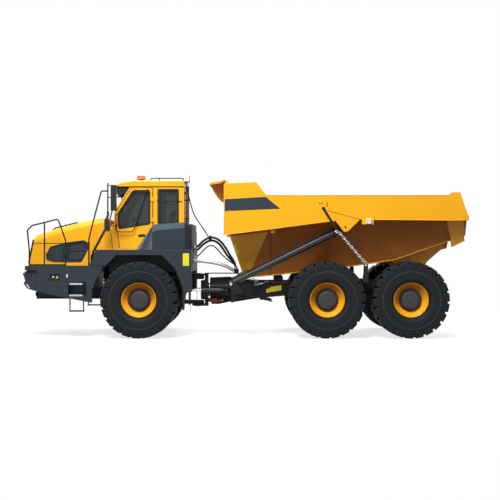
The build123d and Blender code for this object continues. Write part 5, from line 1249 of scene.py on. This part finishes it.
# %% Tail lamps and exhaust
tail_lenses = [(1.212, reflector_red), (1.172, beacon_amber), (1.132, lens_clear)]  # (height, material)
for side, sign in sides:
    low, high = span(sign, 0.350, 0.450)
    housing = rounded(box(low - 0.03, high + 0.03, 1.100, 1.245), 0.015)
    plate(f"tail_lamp_housing_{side}", housing, 4.255, 4.300, front_place, abs_black, "rear_chassis", bevel=0.005)
    for number, (height, material) in enumerate(tail_lenses):
        lens = rounded(box(low - 0.018, high + 0.018, height - 0.016, height + 0.016), 0.008)
        plate(f"tail_lamp_lens_{side}_{number}", lens, 4.298, 4.306, front_place, material, "rear_chassis",
              bevel=0.003)
stack = (-1.347, -0.550, 0)
mouth = [(3.440, 0.0425), (3.440, 0.0465), (3.486, 0.0465), (3.488, 0.042), (3.486, 0.0305), (3.440, 0.0305)]
spun("exhaust_mouth", mouth, stack, (0, 0, 1), 40, engine_enamel, "front_chassis")
clamps = []
for z in (2.720, 3.150):
    clamps.append(turned([(z, 0.0424), (z, 0.047), (z + 0.030, 0.047), (z + 0.030, 0.0424)], stack, (0, 0, 1), 40))
    clamps.append(prism(box(-1.412, -1.388, z + 0.005, z + 0.025), -0.575, -0.525, side_place))
finish_piece("exhaust_clamps", mesh_of(*joined(clamps)), chassis_enamel, "front_chassis")
bent_rod("antenna", [(-1.300, -0.640, 3.600), (-1.296, -0.640, 3.640), (-1.290, -0.640, 3.740)], 0.006,
         seal_rubber, "front_chassis", curved=False)
holder = rounded(box(-1.420, -1.285, 3.575, 3.605), 0.008)
plate("antenna_holder", holder, -0.655, -0.625, side_place, chassis_enamel, "front_chassis", bevel=0.002)
fin_count, fin_pitch = 60, 0.0185
fins = []
for number in range(fin_count):
    y = -0.545 + fin_pitch * number
    fins.append(prism(box(y, y + 0.004, 1.20, 2.04), -4.886, -4.879, front_place))
finish_piece("radiator_fins", mesh_of(*joined(fins)), engine_enamel, "front_chassis")
print("lamps, exhaust and fins")

# %% [markdown]
# ## Driver's seat
# The seat is two foam cushions in woven cloth on a black pedestal. A cushion is a closed form whose face is
# crowned and whose sides pull in between the corners. It starts as a rounded grid whose height follows a soft
# curve, with a sewn channel pressed in along two lines.

# %% Seat cushions
def cushion(name, size, crown, place, channels):
    """A crowned pad of (length, width, depth): place(u, v, w) sets its points, channels are lines along u."""
    length, width, depth = size
    steps = 24
    waist, channel_depth, channel_width = 0.045, 0.012, 0.05
    verts, faces = [], []
    for face_side in (1, -1):
        for i in range(steps + 1):
            for j in range(steps + 1):
                s, t = 2 * i / steps - 1, 2 * j / steps - 1
                pull = 1 - waist * (1 - t * t)
                draw = 1 - waist * (1 - s * s)
                edge = (1 - abs(s) ** 6) * (1 - abs(t) ** 6)
                lift = depth / 2 * edge ** 0.5 + crown * (1 - s * s) * (1 - t * t)
                for line in channels:
                    lift -= channel_depth * math.exp(-((t - line) / channel_width) ** 2) * edge
                verts.append(place(s * length / 2 * pull, t * width / 2 * draw,
                                   face_side * (lift if face_side > 0 else depth / 2 * edge ** 0.5)))
    row = steps + 1
    for base in (0, row * row):
        for i in range(steps):
            for j in range(steps):
                a = base + i * row + j
                faces.append((a, a + row, a + row + 1, a + 1))
    mesh = mesh_of(verts, faces)
    form = bmesh.new()
    form.from_mesh(mesh)
    bmesh.ops.remove_doubles(form, verts=form.verts, dist=0.0008)
    bmesh.ops.recalc_face_normals(form, faces=form.faces)
    form.to_mesh(mesh)
    form.free()
    pad = finish_piece(name, mesh, seat_cloth, "front_chassis", smooth=True)
    return pad


channel_lines = (-0.45, 0.45)
lean = math.radians(14)
cushion("seat_cushion", (0.46, 0.50, 0.12), 0.016, lambda u, v, w: (-2.085 + u, v, 2.305 + w - 0.03 * u),
        channel_lines)
cushion("seat_back", (0.64, 0.48, 0.10), 0.018,
        lambda u, v, w: (-1.775 + u * math.sin(lean) - w * math.cos(lean), v,
                         2.660 + u * math.cos(lean) + w * math.sin(lean)), channel_lines)
pedestal = [
    prism(rounded([(-2.220, 1.760), (-1.880, 1.760), (-1.930, 2.050), (-1.900, 2.250), (-2.200, 2.250),
                   (-2.170, 2.050)], 0.02), -0.150, 0.150, side_place),
    prism(rounded([(-2.300, 2.225), (-1.800, 2.225), (-1.700, 2.960), (-1.670, 2.960), (-1.760, 2.205)], 0.02),
          -0.200, 0.200, side_place),
]
base = finish_piece("seat_pedestal", mesh_of(*joined(pedestal)), abs_black, "front_chassis", bevel=0.006)
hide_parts("seat")
print("seat made")

# %% [markdown]
# ## Camera, floor and light
# The photograph is a level side view from about twenty metres, taken with a moderately long lens. The camera
# stands there. The light is open sky: it is strong from above and weak from the horizon, and the dark ground
# sends little back, so the flared hull lies in its own shade. The floor fades out into a white world, and it is
# nearly white to the camera, so only a faint shadow is left under the machine.

# %% Camera
eye = (0.123, -21.495, 2.0)
camera_data = bpy.data.cameras.new("camera")
camera_data.sensor_width = 36.0
camera_data.lens = 64.2
camera = bpy.data.objects.new("camera", camera_data)
camera.location = eye
camera.rotation_euler = (math.radians(90), 0, 0)
bpy.context.scene.collection.objects.link(camera)
bpy.context.scene.camera = camera


# %% Floor
def seen_plainly(tree):
    """One where a surface is seen directly, in gloss or through glass, and nought where it only bounces light."""
    path = add_node(tree, "ShaderNodeLightPath")
    seen = add_node(tree, "ShaderNodeMath", {"operation": "MAXIMUM"},
                    {0: path.outputs["Is Camera Ray"], 1: path.outputs["Is Glossy Ray"]})
    seen_all = add_node(tree, "ShaderNodeMath", {"operation": "MAXIMUM"},
                        {0: seen.outputs["Value"], 1: path.outputs["Is Transmission Ray"]})
    return seen_all.outputs["Value"]


floor_half, floor_z = 40, -0.002
floor_mesh = bpy.data.meshes.new("studio_floor")
floor_mesh.from_pydata([(x, y, floor_z) for x, y in box(-floor_half, floor_half, -floor_half, floor_half)], [],
                       [(0, 1, 2, 3)])
floor = bpy.data.objects.new("studio_floor", floor_mesh)
bpy.context.scene.collection.objects.link(floor)
floor_paint = bpy.data.materials.new("studio_floor_white")
floor_paint.use_nodes = True
tree = floor_paint.node_tree
tree.nodes.remove(tree.nodes["Principled BSDF"])
output = tree.nodes["Material Output"]
matt = add_node(tree, "ShaderNodeBsdfDiffuse", {"Color": (0.42, 0.42, 0.42, 1)})
glow = add_node(tree, "ShaderNodeEmission", {"Color": (1, 1, 1, 1), "Strength": 0.72})
bright = add_node(tree, "ShaderNodeAddShader", {}, {0: matt.outputs[0], 1: glow.outputs[0]})
dim = add_node(tree, "ShaderNodeBsdfDiffuse", {"Color": (0.07, 0.07, 0.07, 1)})
lit = add_node(tree, "ShaderNodeMixShader", {}, {0: seen_plainly(tree), 1: dim.outputs[0], 2: bright.outputs[0]})
spot = add_node(tree, "ShaderNodeTexCoord").outputs["Object"]
reach = add_node(tree, "ShaderNodeVectorMath", {"operation": "LENGTH"}, {0: spot})
fade = add_node(tree, "ShaderNodeMapRange", {"interpolation_type": "SMOOTHSTEP", "From Min": 7.0, "From Max": 14.0},
                {"Value": reach.outputs["Value"]})
clear = add_node(tree, "ShaderNodeBsdfTransparent")
faded = add_node(tree, "ShaderNodeMixShader", {}, {0: fade.outputs["Result"], 1: lit.outputs[0],
                                                   2: clear.outputs[0]})
tree.links.new(faded.outputs[0], output.inputs["Surface"])
floor_mesh.materials.append(floor_paint)

# %% World
world = bpy.data.worlds.new("studio_world")
bpy.context.scene.world = world
world.use_nodes = True
tree = world.node_tree
background = tree.nodes["Background"]
background.inputs["Color"].default_value = (1, 1, 1, 1)
direction = add_node(tree, "ShaderNodeTexCoord").outputs["Generated"]
height = add_node(tree, "ShaderNodeSeparateXYZ", {}, {0: direction})
sky = add_node(tree, "ShaderNodeMapRange", {"From Min": -0.05, "From Max": 0.9, "To Min": 0.10, "To Max": 0.80},
               {"Value": height.outputs["Z"]})
strength = add_node(tree, "ShaderNodeMix", {"data_type": "FLOAT", 3: 1.0},
                    {0: seen_plainly(tree), 2: sky.outputs["Result"]})
tree.links.new(strength.outputs[0], background.inputs["Strength"])


# %% Lamps
def soft_lamp(name, place, aim, size, power):
    """A large square softbox that faces a point."""
    data = bpy.data.lights.new(name, "AREA")
    data.size = size
    data.energy = power
    lamp = bpy.data.objects.new(name, data)
    lamp.location = place
    lamp.rotation_euler = (Vector(aim) - Vector(place)).to_track_quat("-Z", "Y").to_euler()
    bpy.context.scene.collection.objects.link(lamp)


soft_lamp("key_softbox", (-3.0, -9.5, 15.0), (0, -0.5, 2.0), 7.0, 3900)
soft_lamp("back_softbox", (3.0, 9.0, 13.0), (0, 0.5, 2.0), 7.0, 900)
bpy.context.scene.view_settings.view_transform = "Standard"
print("lamps set")
